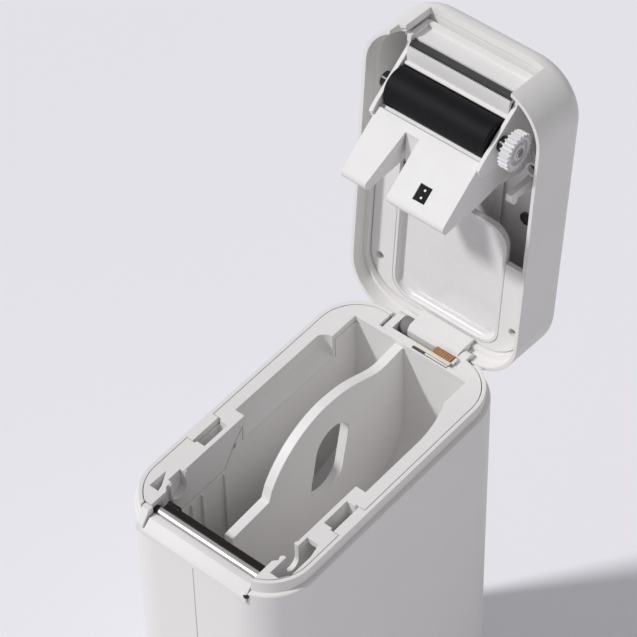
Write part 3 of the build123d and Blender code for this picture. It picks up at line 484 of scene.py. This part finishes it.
@dataclass
class Piece:
    """One mesh while it is shaped with Blender's own operators, in millimetres."""

    obj: bpy.types.Object

    @classmethod
    def bar(cls, name: str, low: Point, high: Point) -> "Piece":
        """Start from a bar between two corners.

        Args:
            name: the piece's name.
            low: its lowest corner.
            high: its highest corner.

        Returns:
            The piece.
        """
        bpy.ops.object.select_all(action="DESELECT")
        middle = [(a + b) / 2 * MM for a, b in zip(low, high)]
        bpy.ops.mesh.primitive_cube_add(size=1.0, location=middle)
        piece = cls(bpy.context.object)
        piece.obj.name = name
        piece.obj.scale = [(b - a) * MM for a, b in zip(low, high)]
        piece.settle()
        return piece

    @classmethod
    def drum(cls, name: str, radius: float, low: Point, length: float, axis: str, sides: int = 40) -> "Piece":
        """Start from a round bar.

        Args:
            name: the piece's name.
            radius: its radius.
            low: the middle of its lower end.
            length: how far it runs from there.
            axis: X, Y or Z.
            sides: how many flats make it round.

        Returns:
            The piece.
        """
        bpy.ops.object.select_all(action="DESELECT")
        turn = {"X": (0.0, radians(90), 0.0), "Y": (radians(-90), 0.0, 0.0), "Z": (0.0, 0.0, 0.0)}[axis]
        along = Vector([1.0 if letter == axis else 0.0 for letter in "XYZ"])
        middle = (Vector(low) + along * length / 2) * MM
        bpy.ops.mesh.primitive_cylinder_add(vertices=sides, radius=radius * MM, depth=length * MM, location=middle,
                                            rotation=turn)
        piece = cls(bpy.context.object)
        piece.obj.name = name
        piece.settle()
        return piece

    def take(self) -> None:
        """Select this piece alone."""
        bpy.ops.object.select_all(action="DESELECT")
        self.obj.select_set(True)
        bpy.context.view_layer.objects.active = self.obj

    def face_outwards(self) -> None:
        """Turn all faces outwards."""
        self.pick_none("FACE")
        bpy.ops.object.mode_set(mode="EDIT")
        bpy.ops.mesh.select_all(action="SELECT")
        bpy.ops.mesh.normals_make_consistent(inside=False)
        bpy.ops.object.mode_set(mode="OBJECT")

    def settle(self) -> None:
        """Put the place, turn and scale into the mesh."""
        bpy.ops.object.transform_apply(location=True, rotation=True, scale=True)

    def pick_faces(self, rule: Callable[[Vector, Vector], bool]) -> None:
        """Go into edit mode with the faces that pass a rule selected.

        Args:
            rule: takes a face's middle in millimetres and its normal.
        """
        self.pick_none("FACE")
        for face in self.obj.data.polygons:
            face.select = rule(face.center / MM, face.normal)
        bpy.ops.object.mode_set(mode="EDIT")

    def pick_edges(self, rule: Callable[[Vector, Vector], bool]) -> None:
        """Go into edit mode with the edges that pass a rule selected.

        Args:
            rule: takes an edge's middle in millimetres and its direction.
        """
        self.pick_none("EDGE")
        points = self.obj.data.vertices
        for edge in self.obj.data.edges:
            start, end = (points[i].co for i in edge.vertices)
            edge.select = rule((start + end) / 2 / MM, (end - start).normalized())
        bpy.ops.object.mode_set(mode="EDIT")

    def pick_none(self, kind: str) -> None:
        """Clear the selection and leave edit mode.

        Args:
            kind: VERT, EDGE or FACE, what is to be selected next.
        """
        bpy.context.view_layer.objects.active = self.obj
        bpy.ops.object.mode_set(mode="EDIT")
        bpy.ops.mesh.select_mode(type=kind)
        bpy.ops.mesh.select_all(action="DESELECT")
        bpy.ops.object.mode_set(mode="OBJECT")

    def sink(self, rule: Callable[[Vector, Vector], bool], rim: float, depth: Point) -> None:
        """Sink a pocket into a face.

        Args:
            rule: picks the face.
            rim: the width left round the pocket.
            depth: where the pocket's floor goes from the face.
        """
        self.pick_faces(rule)
        bpy.ops.mesh.inset(thickness=rim * MM)
        bpy.ops.mesh.extrude_region_move(TRANSFORM_OT_translate={"value": [v * MM for v in depth]})
        bpy.ops.object.mode_set(mode="OBJECT")

    def round_edges(self, rule: Callable[[Vector, Vector], bool], radius: float, segments: int = 4) -> None:
        """Round the picked edges.

        Args:
            rule: picks the edges.
            radius: the rounding.
            segments: how many strips make it.
        """
        self.pick_edges(rule)
        bpy.ops.mesh.bevel(offset=radius * MM, segments=segments, affect="EDGES", clamp_overlap=True)
        bpy.ops.object.mode_set(mode="OBJECT")

    def slice_off(self, point: Point, outward: Point) -> None:
        """Cut off all that lies beyond a plane and close the cut.

        Args:
            point: a point on the plane.
            outward: the direction of what goes.
        """
        self.pick_none("FACE")
        bpy.ops.object.mode_set(mode="EDIT")
        bpy.ops.mesh.select_all(action="SELECT")
        bpy.ops.mesh.bisect(plane_co=[v * MM for v in point], plane_no=outward, use_fill=True, clear_outer=True)
        bpy.ops.object.mode_set(mode="OBJECT")
        self.face_outwards()

    def soften(self, width: float, segments: int = 3, angle_deg: float = 35.0) -> None:
        """Round all sharp edges with a bevel modifier and apply it.

        Args:
            width: the rounding.
            segments: how many strips make it.
            angle_deg: edges sharper than this are rounded.
        """
        bevel = self.obj.modifiers.new("soft_edges", "BEVEL")
        bevel.width = width * MM
        bevel.segments = segments
        bevel.limit_method = "ANGLE"
        bevel.angle_limit = radians(angle_deg)
        bevel.harden_normals = False
        bpy.context.view_layer.objects.active = self.obj
        bpy.ops.object.modifier_apply(modifier=bevel.name)

    def mirrored(self, name: str) -> "Piece":
        """A copy on the printer's other side.

        Args:
            name: the copy's name.

        Returns:
            The copy, with its own mesh.
        """
        self.take()
        bpy.ops.object.duplicate()
        copy = Piece(bpy.context.object)
        copy.obj.name = name
        copy.obj.scale.x = -1.0
        copy.settle()
        copy.face_outwards()
        return copy

    def placed(self, turn: Matrix) -> None:
        """Move and turn the piece.

        Args:
            turn: where its present frame goes.
        """
        self.take()
        self.obj.matrix_world = turn @ self.obj.matrix_world
        self.settle()

    def swing_open(self) -> None:
        """Turn a piece modelled in the shut lid to where the open lid holds it."""
        self.placed(LidHinge.of_record().opening())

    def finish(self, body: str, slot: str, material: bpy.types.Material) -> None:
        """Shade the piece, dress it and let it ride.

        Args:
            body: the CAD body that carries it.
            slot: the record's material slot of the same finish; not used.
            material: its finish.
        """
        self.take()
        bpy.ops.object.shade_smooth_by_angle(angle=radians(SMOOTH_BELOW_DEG))
        self.obj.data.materials.clear()
        self.obj.data.materials.append(material)
        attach(self.obj, body)
        log.info("piece %s: %d faces", self.obj.name, len(self.obj.data.polygons))


@dataclass(frozen=True)
class LidHinge:
    """The lid's hinge as the record gives it."""

    place: Vector
    swing: float

    @classmethod
    def of_record(cls) -> "LidHinge":
        """Read the hinge.

        Returns:
            The hinge, whose swing takes a shut piece to the open lid.
        """
        joint = next(j for j in frame["record"]["behaviour"]["joints"] if j["name"] == "lid_hinge")
        return cls(Vector(joint["pos_m"]), radians(min(joint["range_deg"])))

    def opening(self) -> Matrix:
        """The turn that takes the shut lid open."""
        turn = Matrix.Rotation(self.swing, 4, "X")
        return Matrix.Translation(self.place) @ turn @ Matrix.Translation(-self.place)

    def shut(self, box: tuple) -> Vector:
        """Where a box's middle lies once the lid is shut.

        Args:
            box: the lowest and highest corners, in metres.

        Returns:
            The point, in millimetres.
        """
        middle = (Vector(box[0]) + Vector(box[1])) / 2
        return self.opening().inverted() @ middle / MM


def along_x(direction: Vector) -> bool:
    """Whether an edge runs along X."""
    return abs(direction.x) > ALONG


def faces_down(middle: Vector, normal: Vector) -> bool:
    """Whether a face looks down."""
    return normal.z < -FACING


def faces_left(middle: Vector, normal: Vector) -> bool:
    """Whether a face looks to the printer's left."""
    return normal.x < -FACING


def in_mm(box: tuple) -> tuple[Vector, Vector]:
    """A box's corners in millimetres.

    Args:
        box: the lowest and highest corners, in metres.

    Returns:
        Both corners.
    """
    low, high = box
    return Vector(low) / MM, Vector(high) / MM


@dataclass
class ExitFittings:
    """The dark clip on the bright strip's left end and the pin at the ledge's right end."""

    clip_reach: float = 0.8
    clip_width: float = 1.7
    clip_drop: float = 4.2
    clip_front: float = 0.25
    clip_rear: float = 0.2
    clip_top: float = 0.5
    clip_round: float = 1.3
    clip_rim: float = 0.45
    clip_dent: float = 0.9
    clip_edge: float = 0.12
    ramp_edge: float = 183.25
    ramp_crest: float = 186.3
    ramp_lip: float = 0.4
    ramp_spare: float = 0.2
    ramp_front: float = -65.1
    ramp_rear: float = -58.95
    ramp_ends: tuple[float, float] = (-22.9, 23.6)
    pin_radius: float = 1.05
    pin_round: float = 0.5
    pin_rim: float = 0.1
    pin_top: float = 184.4
    pin_sunk: float = 2.0
    pin_from_right: float = 0.9
    pin_from_front: float = 1.2
    shadow_ring_radius: float = 1.3
    shadow_ring_shift: Point = (0.4, 0.1, -0.3)
    soft_edge: float = 0.15

    def strip_clip(self, wardrobe: Wardrobe) -> None:
        """Fold the clip over the strip's end.

        Args:
            wardrobe: the finishes.
        """
        low, high = in_mm(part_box("head_heatsink"))
        left = low.x - self.clip_reach
        clip = Piece.bar("strip_clip", (left, low.y - self.clip_front, high.z - self.clip_drop),
                         (left + self.clip_width, high.y + self.clip_rear, high.z + self.clip_top))
        clip.round_edges(lambda middle, way: along_x(way) and middle.z > high.z, self.clip_round)
        clip.sink(faces_left, self.clip_rim, (self.clip_dent, 0.0, 0.0))
        clip.soften(self.clip_edge, 2)
        clip.finish("body", "head_black", wardrobe.material(Look.HEAD))

    def ramp(self, wardrobe: Wardrobe) -> None:
        """Raise the ledge towards the bright strip.

        Args:
            wardrobe: the finishes.
        """
        left, right = self.ramp_ends
        ramp = Piece.bar("ledge_ramp", (left, self.ramp_front, self.ramp_edge - self.ramp_lip),
                         (right, self.ramp_rear, self.ramp_crest + self.ramp_spare))
        ramp.slice_off((0.0, self.ramp_front, self.ramp_edge),
                       (0.0, self.ramp_edge - self.ramp_crest, self.ramp_rear - self.ramp_front))
        ramp.soften(self.soft_edge, 2)
        ramp.finish("body", "frame_white", wardrobe.material(Look.FRAME))

    def ledge_pin(self, wardrobe: Wardrobe) -> None:
        """Stand the short round pin at the ledge's right corner, with a black drum behind it that paints the shadow
        gap round the pin as a dark crescent.

        Args:
            wardrobe: the finishes.
        """
        low, high = in_mm(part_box("exit_ledge"))
        x, y = high.x - self.pin_from_right, low.y + self.pin_from_front
        foot = self.pin_top - self.pin_sunk
        pin = Piece.drum("ledge_pin", self.pin_radius, (x, y, foot), self.pin_sunk, "Z")
        pin.round_edges(lambda middle, way: middle.z > self.pin_top - self.pin_rim, self.pin_round)
        pin.finish("body", "frame_white", wardrobe.material(Look.FRAME))
        shadow_x, shadow_y = x + self.shadow_ring_shift[0], y + self.shadow_ring_shift[1]
        # painted shadow: a black drum set off to the lower right shows as the dark crescent of the shadow gap
        # beside the pin
        seat = Piece.drum("ledge_pin_shadow_ring", self.shadow_ring_radius, (shadow_x, shadow_y, foot),
                          self.pin_sunk + self.shadow_ring_shift[2], "Z")
        seat.soften(self.soft_edge, 2)
        seat.finish("body", "head_black", wardrobe.material(Look.HEAD))


@dataclass
class RibbonFittings:
    """The ribbon's flat lap behind its clamp and the clamp's upper parts: cover strip, a thin dark grey sheet
    painted as the slot's shadow, and latch bar.
    """

    lap_left: float = 0.35
    lap_depth: float = 3.2
    lap_rise: float = 0.04
    lap_right: float = 1.1
    lap_rear: float = 0.05
    lap_thickness: float = 0.25
    end_width: float = 1.3
    end_front: float = 0.2
    end_depth: float = 0.6
    top_face: float = 190.02
    cover_rise: float = 0.36
    clamp_half: float = 8.0
    slot_shadow_depth: float = 1.25
    slot_shadow_rise: float = 0.05
    bar_depth: float = 1.0
    bar_gap: float = 0.25
    bar_inset: float = 0.1
    bar_length: float = 10.2
    soft_edge: float = 0.12

    def lap(self, wardrobe: Wardrobe) -> None:
        """Lay the orange lap between the clamp and the hinge, with the slot closed beside it.

        Args:
            wardrobe: the finishes.
        """
        low, high = in_mm(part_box("flex_cable"))
        under, right = high.z + self.lap_rise, high.x + self.lap_right
        lap = Piece.bar("ribbon_lap", (low.x + self.lap_left, high.y - self.lap_depth, under),
                        (right, high.y + self.lap_rear, under + self.lap_thickness))
        lap.finish("body", "ribbon_orange", wardrobe.material(Look.RIBBON))
        end = Piece.bar("ribbon_slot_end", (right, low.y - self.end_front, self.top_face - self.end_depth),
                        (right + self.end_width, high.y, self.top_face))
        end.finish("body", "frame_white", wardrobe.material(Look.FRAME))

    def clamp(self, wardrobe: Wardrobe) -> None:
        """Lay the cream cover strip, and in front of it a thin dark grey sheet that paints the slot's shadow, with
        its white latch bar.

        Args:
            wardrobe: the finishes.
        """
        low, high = in_mm(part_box("ribbon_clamp"))
        middle, front, foot = (low.x + high.x) / 2, low.y, self.top_face
        left, right, top = middle - self.clamp_half, middle + self.clamp_half, foot + self.cover_rise
        cover = Piece.bar("clamp_cover", (left, front, foot), (right, high.y, top))
        cover.soften(self.soft_edge, 2)
        cover.finish("body", "clamp_cream", wardrobe.material(Look.CREAM))
        # painted shadow: a thin dark grey sheet on the top face stands in for the shade in the slot
        slot = Piece.bar("clamp_slot_shadow", (left, front - self.slot_shadow_depth, foot), (right, front, foot + self.slot_shadow_rise))
        slot.finish("body", "sensor_black", wardrobe.material(Look.SLOT))
        bar = Piece.bar("clamp_bar", (right - self.bar_length, front - self.bar_depth, foot),
                        (right - self.bar_inset, front - self.bar_gap, top))
        bar.soften(self.soft_edge, 2)
        bar.finish("body", "ribbon_white", wardrobe.material(Look.WHITE_FILM))


@dataclass
class HingeSleeve:
    """The sleeve on the hinge pin between the left ear and the knuckle, its dark grey painted shade for the pocket
    round it.
    """

    left: float = -11.9
    right: float = -7.9
    radius: float = 3.4
    soft_edge: float = 0.3

    def build(self, wardrobe: Wardrobe) -> None:
        """Put the sleeve on the pin.

        Args:
            wardrobe: the finishes.
        """
        axis = LidHinge.of_record().place / MM
        sleeve = Piece.drum("hinge_sleeve", self.radius, (self.left, axis.y, axis.z), self.right - self.left, "X")
        sleeve.soften(self.soft_edge, 2)
        # painted shade: the sleeve's dark grey stands in for the shade in the hinge pocket
        sleeve.finish("body", "sensor_black", wardrobe.material(Look.SLEEVE))


@dataclass
class SensorLensGlints:
    """Two white discs on the lens windows in the gap sensor's dimples; their white is painted highlight for the
    lenses' glints.
    """

    tilt_deg: float = 37.4
    spacing: float = 2.8
    radius: float = 0.45
    floor: float = 1.1
    thickness: float = 0.32
    sides: int = 24

    def build(self, wardrobe: Wardrobe) -> None:
        """Set both painted glints.

        Args:
            wardrobe: the finishes.
        """
        low, high = (Vector(corner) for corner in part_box("gap_sensor"))
        seat = Matrix.Translation((low + high) / 2) @ Matrix.Rotation(radians(self.tilt_deg), 4, "X")
        for name, side in (("sensor_lens_glint_upper", 0.5), ("sensor_lens_glint_lower", -0.5)):
            foot = (0.0, side * self.spacing, self.floor)
            lens = Piece.drum(name, self.radius, foot, self.thickness, "Z", self.sides)
            lens.placed(seat)
            # painted highlight: the white discs stand in for the glints on the sensor's lenses
            lens.finish("lid", "ribbon_white", wardrobe.material(Look.WHITE_FILM))


@dataclass
class BushCollars:
    """The rounded U-shaped collars round the seats that the platen's bushes drop into."""

    inner_radius: float = 3.25
    wall: float = 1.5
    inner_face: float = 24.75
    thickness: float = 2.2
    lip_above_axis: float = 6.7
    steps: int = 24
    weld: float = 0.001
    soft_edge: float = 0.5

    def build(self, wardrobe: Wardrobe) -> None:
        """Model the right collar and mirror it.

        Args:
            wardrobe: the finishes.
        """
        axis = LidHinge.of_record().shut(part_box("platen_shaft"))
        right = self.collar(axis)
        left = right.mirrored("bush_collar_left")
        for piece in (right, left):
            piece.finish("body", "frame_white", wardrobe.material(Look.FRAME))

    def collar(self, axis: Vector) -> Piece:
        """Spin the collar's section half round the bush and pull both ends up as straight legs.

        Args:
            axis: a point on the shut platen's axis, in millimetres.

        Returns:
            The right collar.
        """
        inner, outer = axis.y + self.inner_radius, axis.y + self.inner_radius + self.wall
        piece = Piece.bar("bush_collar_right", (self.inner_face, inner, axis.z),
                          (self.inner_face + self.thickness, outer, axis.z + self.lip_above_axis))
        piece.pick_faces(faces_down)
        bpy.ops.mesh.spin(steps=self.steps, angle=radians(180), center=(0.0, axis.y * MM, axis.z * MM),
                          axis=(1.0, 0.0, 0.0))
        bpy.ops.mesh.extrude_region_move(TRANSFORM_OT_translate={"value": (0.0, 0.0, self.lip_above_axis * MM)})
        bpy.ops.mesh.select_all(action="SELECT")
        bpy.ops.mesh.remove_doubles(threshold=self.weld * MM)
        bpy.ops.object.mode_set(mode="OBJECT")
        piece.face_outwards()
        piece.soften(self.soft_edge, 3)
        return piece


@dataclass
class LidFittings:
    """The guide's flanks behind the roller, the sunk screw bosses beside them and two dark sockets in the ceiling.

    All are modelled in the shut lid.
    """

    flank_face: float = 22.15
    flank_wall: float = 1.5
    flank_front: float = -35.0
    flank_rear: float = -18.6
    flank_low: float = 186.0
    flank_foot_back: float = 3.2
    flank_foot_out: Point = (0.0, 0.98, -0.2)
    flank_top_drop: float = 9.0
    flank_top_out: Point = (0.0, 0.94, 0.34)
    flank_round: float = 1.6
    flank_round_reach: float = 4.0
    flank_edge: float = 0.3
    ceiling: float = 208.6
    boss_x: float = 30.9
    boss_y: float = -29.8
    boss_mouth: float = 192.9
    boss_radius: float = 3.0
    boss_wall: float = 0.95
    boss_bore: float = 5.0
    boss_edge: float = 0.2
    screw_clearance: float = 0.15
    screw_sunk: float = 2.2
    screw_height: float = 2.6
    screw_rim: float = 0.9
    screw_dent: float = 0.8
    screw_edge: float = 0.15
    socket_xy: tuple[float, float] = (20.9, 8.8)
    socket_radius: float = 2.5
    socket_height: float = 0.9
    socket_rim: float = 0.3
    socket_floor: float = 0.2
    socket_seat: float = 0.15

    def flank(self, wardrobe: Wardrobe) -> None:
        """Cut the flanks from a bar and mirror them.

        Args:
            wardrobe: the finishes.
        """
        inner = self.flank_face - self.flank_wall
        piece = Piece.bar("guide_flank_right", (inner, self.flank_front, self.flank_low),
                          (self.flank_face, self.flank_rear, self.ceiling))
        piece.slice_off((0.0, self.flank_rear - self.flank_foot_back, self.flank_low), self.flank_foot_out)
        piece.slice_off((0.0, self.flank_rear, self.ceiling - self.flank_top_drop), self.flank_top_out)
        rear = self.flank_rear - self.flank_round_reach
        piece.round_edges(lambda middle, way: along_x(way) and middle.y > rear, self.flank_round)
        piece.soften(self.flank_edge, 2)
        self.hang(piece, "guide_flank_left", "frame_white", wardrobe.material(Look.FRAME))

    def boss(self, wardrobe: Wardrobe) -> None:
        """Turn the screw bosses with their deep bores, each with a dark screw head at the bottom.

        Args:
            wardrobe: the finishes.
        """
        piece = Piece.drum("screw_boss_right", self.boss_radius, (self.boss_x, self.boss_y, self.boss_mouth),
                           self.ceiling - self.boss_mouth, "Z")
        piece.sink(faces_down, self.boss_wall, (0.0, 0.0, self.boss_bore))
        piece.soften(self.boss_edge, 2)
        screw = Piece.drum("boss_screw_right", self.boss_radius - self.boss_wall - self.screw_clearance,
                           (self.boss_x, self.boss_y, self.boss_mouth + self.screw_sunk), self.screw_height, "Z")
        screw.sink(faces_down, self.screw_rim, (0.0, 0.0, self.screw_dent))
        screw.soften(self.screw_edge, 2)
        self.hang(piece, "screw_boss_left", "frame_white", wardrobe.material(Look.FRAME))
        self.hang(screw, "boss_screw_left", "head_black", wardrobe.material(Look.SCREW))

    def socket(self, wardrobe: Wardrobe) -> None:
        """Sink the dark round sockets into low collars on the lid's ceiling.

        Args:
            wardrobe: the finishes.
        """
        foot = (*self.socket_xy, self.ceiling + self.socket_seat - self.socket_height)
        collar = Piece.drum("ceiling_socket_right", self.socket_radius, foot, self.socket_height, "Z")
        collar.sink(faces_down, self.socket_rim, (0.0, 0.0, self.socket_height - self.socket_floor))
        self.hang(collar, "ceiling_socket_left", "sensor_black", wardrobe.material(Look.SLOT))

    def hang(self, right: Piece, left_name: str, slot: str, material: bpy.types.Material) -> None:
        """Mirror a shut piece, swing both open and let them ride the lid.

        Args:
            right: the piece on the right.
            left_name: the name of its twin.
            slot: the record's material slot.
            material: the finish.
        """
        for piece in (right, right.mirrored(left_name)):
            piece.swing_open()
            piece.finish("lid", slot, material)


# Studio


@dataclass
class Studio:
    """Pale floor, one soft key from the front left and an even surround."""

    key_from: Point = (-0.43, -0.53, 0.73)
    key_strength: float = 2.03
    key_softness_deg: float = 5.0
    surround: float = 0.365
    surround_tint: Rgb = (0.985, 0.985, 1.0)
    backdrop: Rgb = (0.76, 0.75, 0.80)
    floor_size_m: float = 8.0
    floor_cells: int = 8
    floor_drop_m: float = 0.0004

    def floor(self) -> None:
        """Lay the floor."""
        bpy.ops.object.select_all(action="DESELECT")
        bpy.ops.mesh.primitive_grid_add(x_subdivisions=self.floor_cells, y_subdivisions=self.floor_cells,
                                        size=self.floor_size_m, location=(0, 0, -self.floor_drop_m))
        floor = bpy.context.object
        floor.name = "studio_floor"
        bpy.ops.object.transform_apply(location=True, rotation=True, scale=True)
        floor.data.materials.append(StudioFloor("studio_paper").build())

    def lamps(self) -> None:
        """Hang the key lamp and light the surround, which the camera itself sees as a pale backdrop."""
        sun = bpy.data.lights.new("key_lamp", "SUN")
        sun.energy = self.key_strength
        sun.angle = radians(self.key_softness_deg)
        lamp = bpy.data.objects.new("key_lamp", sun)
        lamp.rotation_euler = Vector(self.key_from).to_track_quat("Z", "Y").to_euler()
        bpy.context.scene.collection.objects.link(lamp)
        world = bpy.data.worlds.new("surround")
        world.use_nodes = True
        tree = world.node_tree
        light = tree.nodes["Background"]
        light.inputs["Color"].default_value = (*self.surround_tint, 1.0)
        light.inputs["Strength"].default_value = self.surround
        backdrop = tree.nodes.new("ShaderNodeBackground")
        backdrop.inputs["Color"].default_value = (*self.backdrop, 1.0)
        rays = tree.nodes.new("ShaderNodeLightPath")
        choice = tree.nodes.new("ShaderNodeMixShader")
        tree.links.new(rays.outputs["Is Camera Ray"], choice.inputs[0])
        tree.links.new(light.outputs[0], choice.inputs[1])
        tree.links.new(backdrop.outputs[0], choice.inputs[2])
        tree.links.new(choice.outputs[0], tree.nodes["World Output"].inputs["Surface"])
        bpy.context.scene.world = world


@dataclass
class Viewpoint:
    """The camera, from its angle round the printer, its distance and its lens."""

    azimuth_deg: float = 40.773
    elevation_deg: float = 47.642
    roll_deg: float = -1.286
    distance_mm: float = 1143.4
    target_mm: Point = (-35.0, 44.1, 190.0)
    lens_mm: float = 177.65
    sensor_mm: float = 36.0
    near_m: float = 0.05

    def set_up(self) -> None:
        """Make the camera and use it."""
        turn, lift, roll = radians(self.azimuth_deg), radians(self.elevation_deg), radians(self.roll_deg)
        back = Vector((sin(turn) * cos(lift), -cos(turn) * cos(lift), sin(lift)))
        level = Vector((cos(turn), sin(turn), 0.0))
        rise = back.cross(level)
        right = level * cos(roll) + rise * sin(roll)
        up = rise * cos(roll) - level * sin(roll)
        eye = (Vector(self.target_mm) + back * self.distance_mm) * MM
        data = bpy.data.cameras.new("viewpoint")
        data.lens = self.lens_mm
        data.sensor_width = self.sensor_mm
        data.clip_start = self.near_m
        camera = bpy.data.objects.new("viewpoint", data)
        axes = Matrix((right, up, back)).transposed().to_4x4()
        camera.matrix_world = Matrix.Translation(eye) @ axes
        bpy.context.scene.collection.objects.link(camera)
        bpy.context.scene.camera = camera


def main() -> None:
    """Set the camera, dress the frame, add the small mouldings and build the studio."""
    logging.basicConfig(level=logging.INFO, format="%(message)s")
    bpy.context.scene.view_settings.view_transform = "Standard"
    Viewpoint().set_up()
    wardrobe = Wardrobe()
    wardrobe.dress_nodes(frame["nodes"])
    exit_fittings = ExitFittings()
    exit_fittings.strip_clip(wardrobe)
    exit_fittings.ramp(wardrobe)
    exit_fittings.ledge_pin(wardrobe)
    ribbon_fittings = RibbonFittings()
    ribbon_fittings.lap(wardrobe)
    ribbon_fittings.clamp(wardrobe)
    BushCollars().build(wardrobe)
    HingeSleeve().build(wardrobe)
    SensorLensGlints().build(wardrobe)
    lid_fittings = LidFittings()
    lid_fittings.flank(wardrobe)
    lid_fittings.boss(wardrobe)
    lid_fittings.socket(wardrobe)
    studio = Studio()
    studio.floor()
    studio.lamps()


if __name__ == "__main__":
    main()
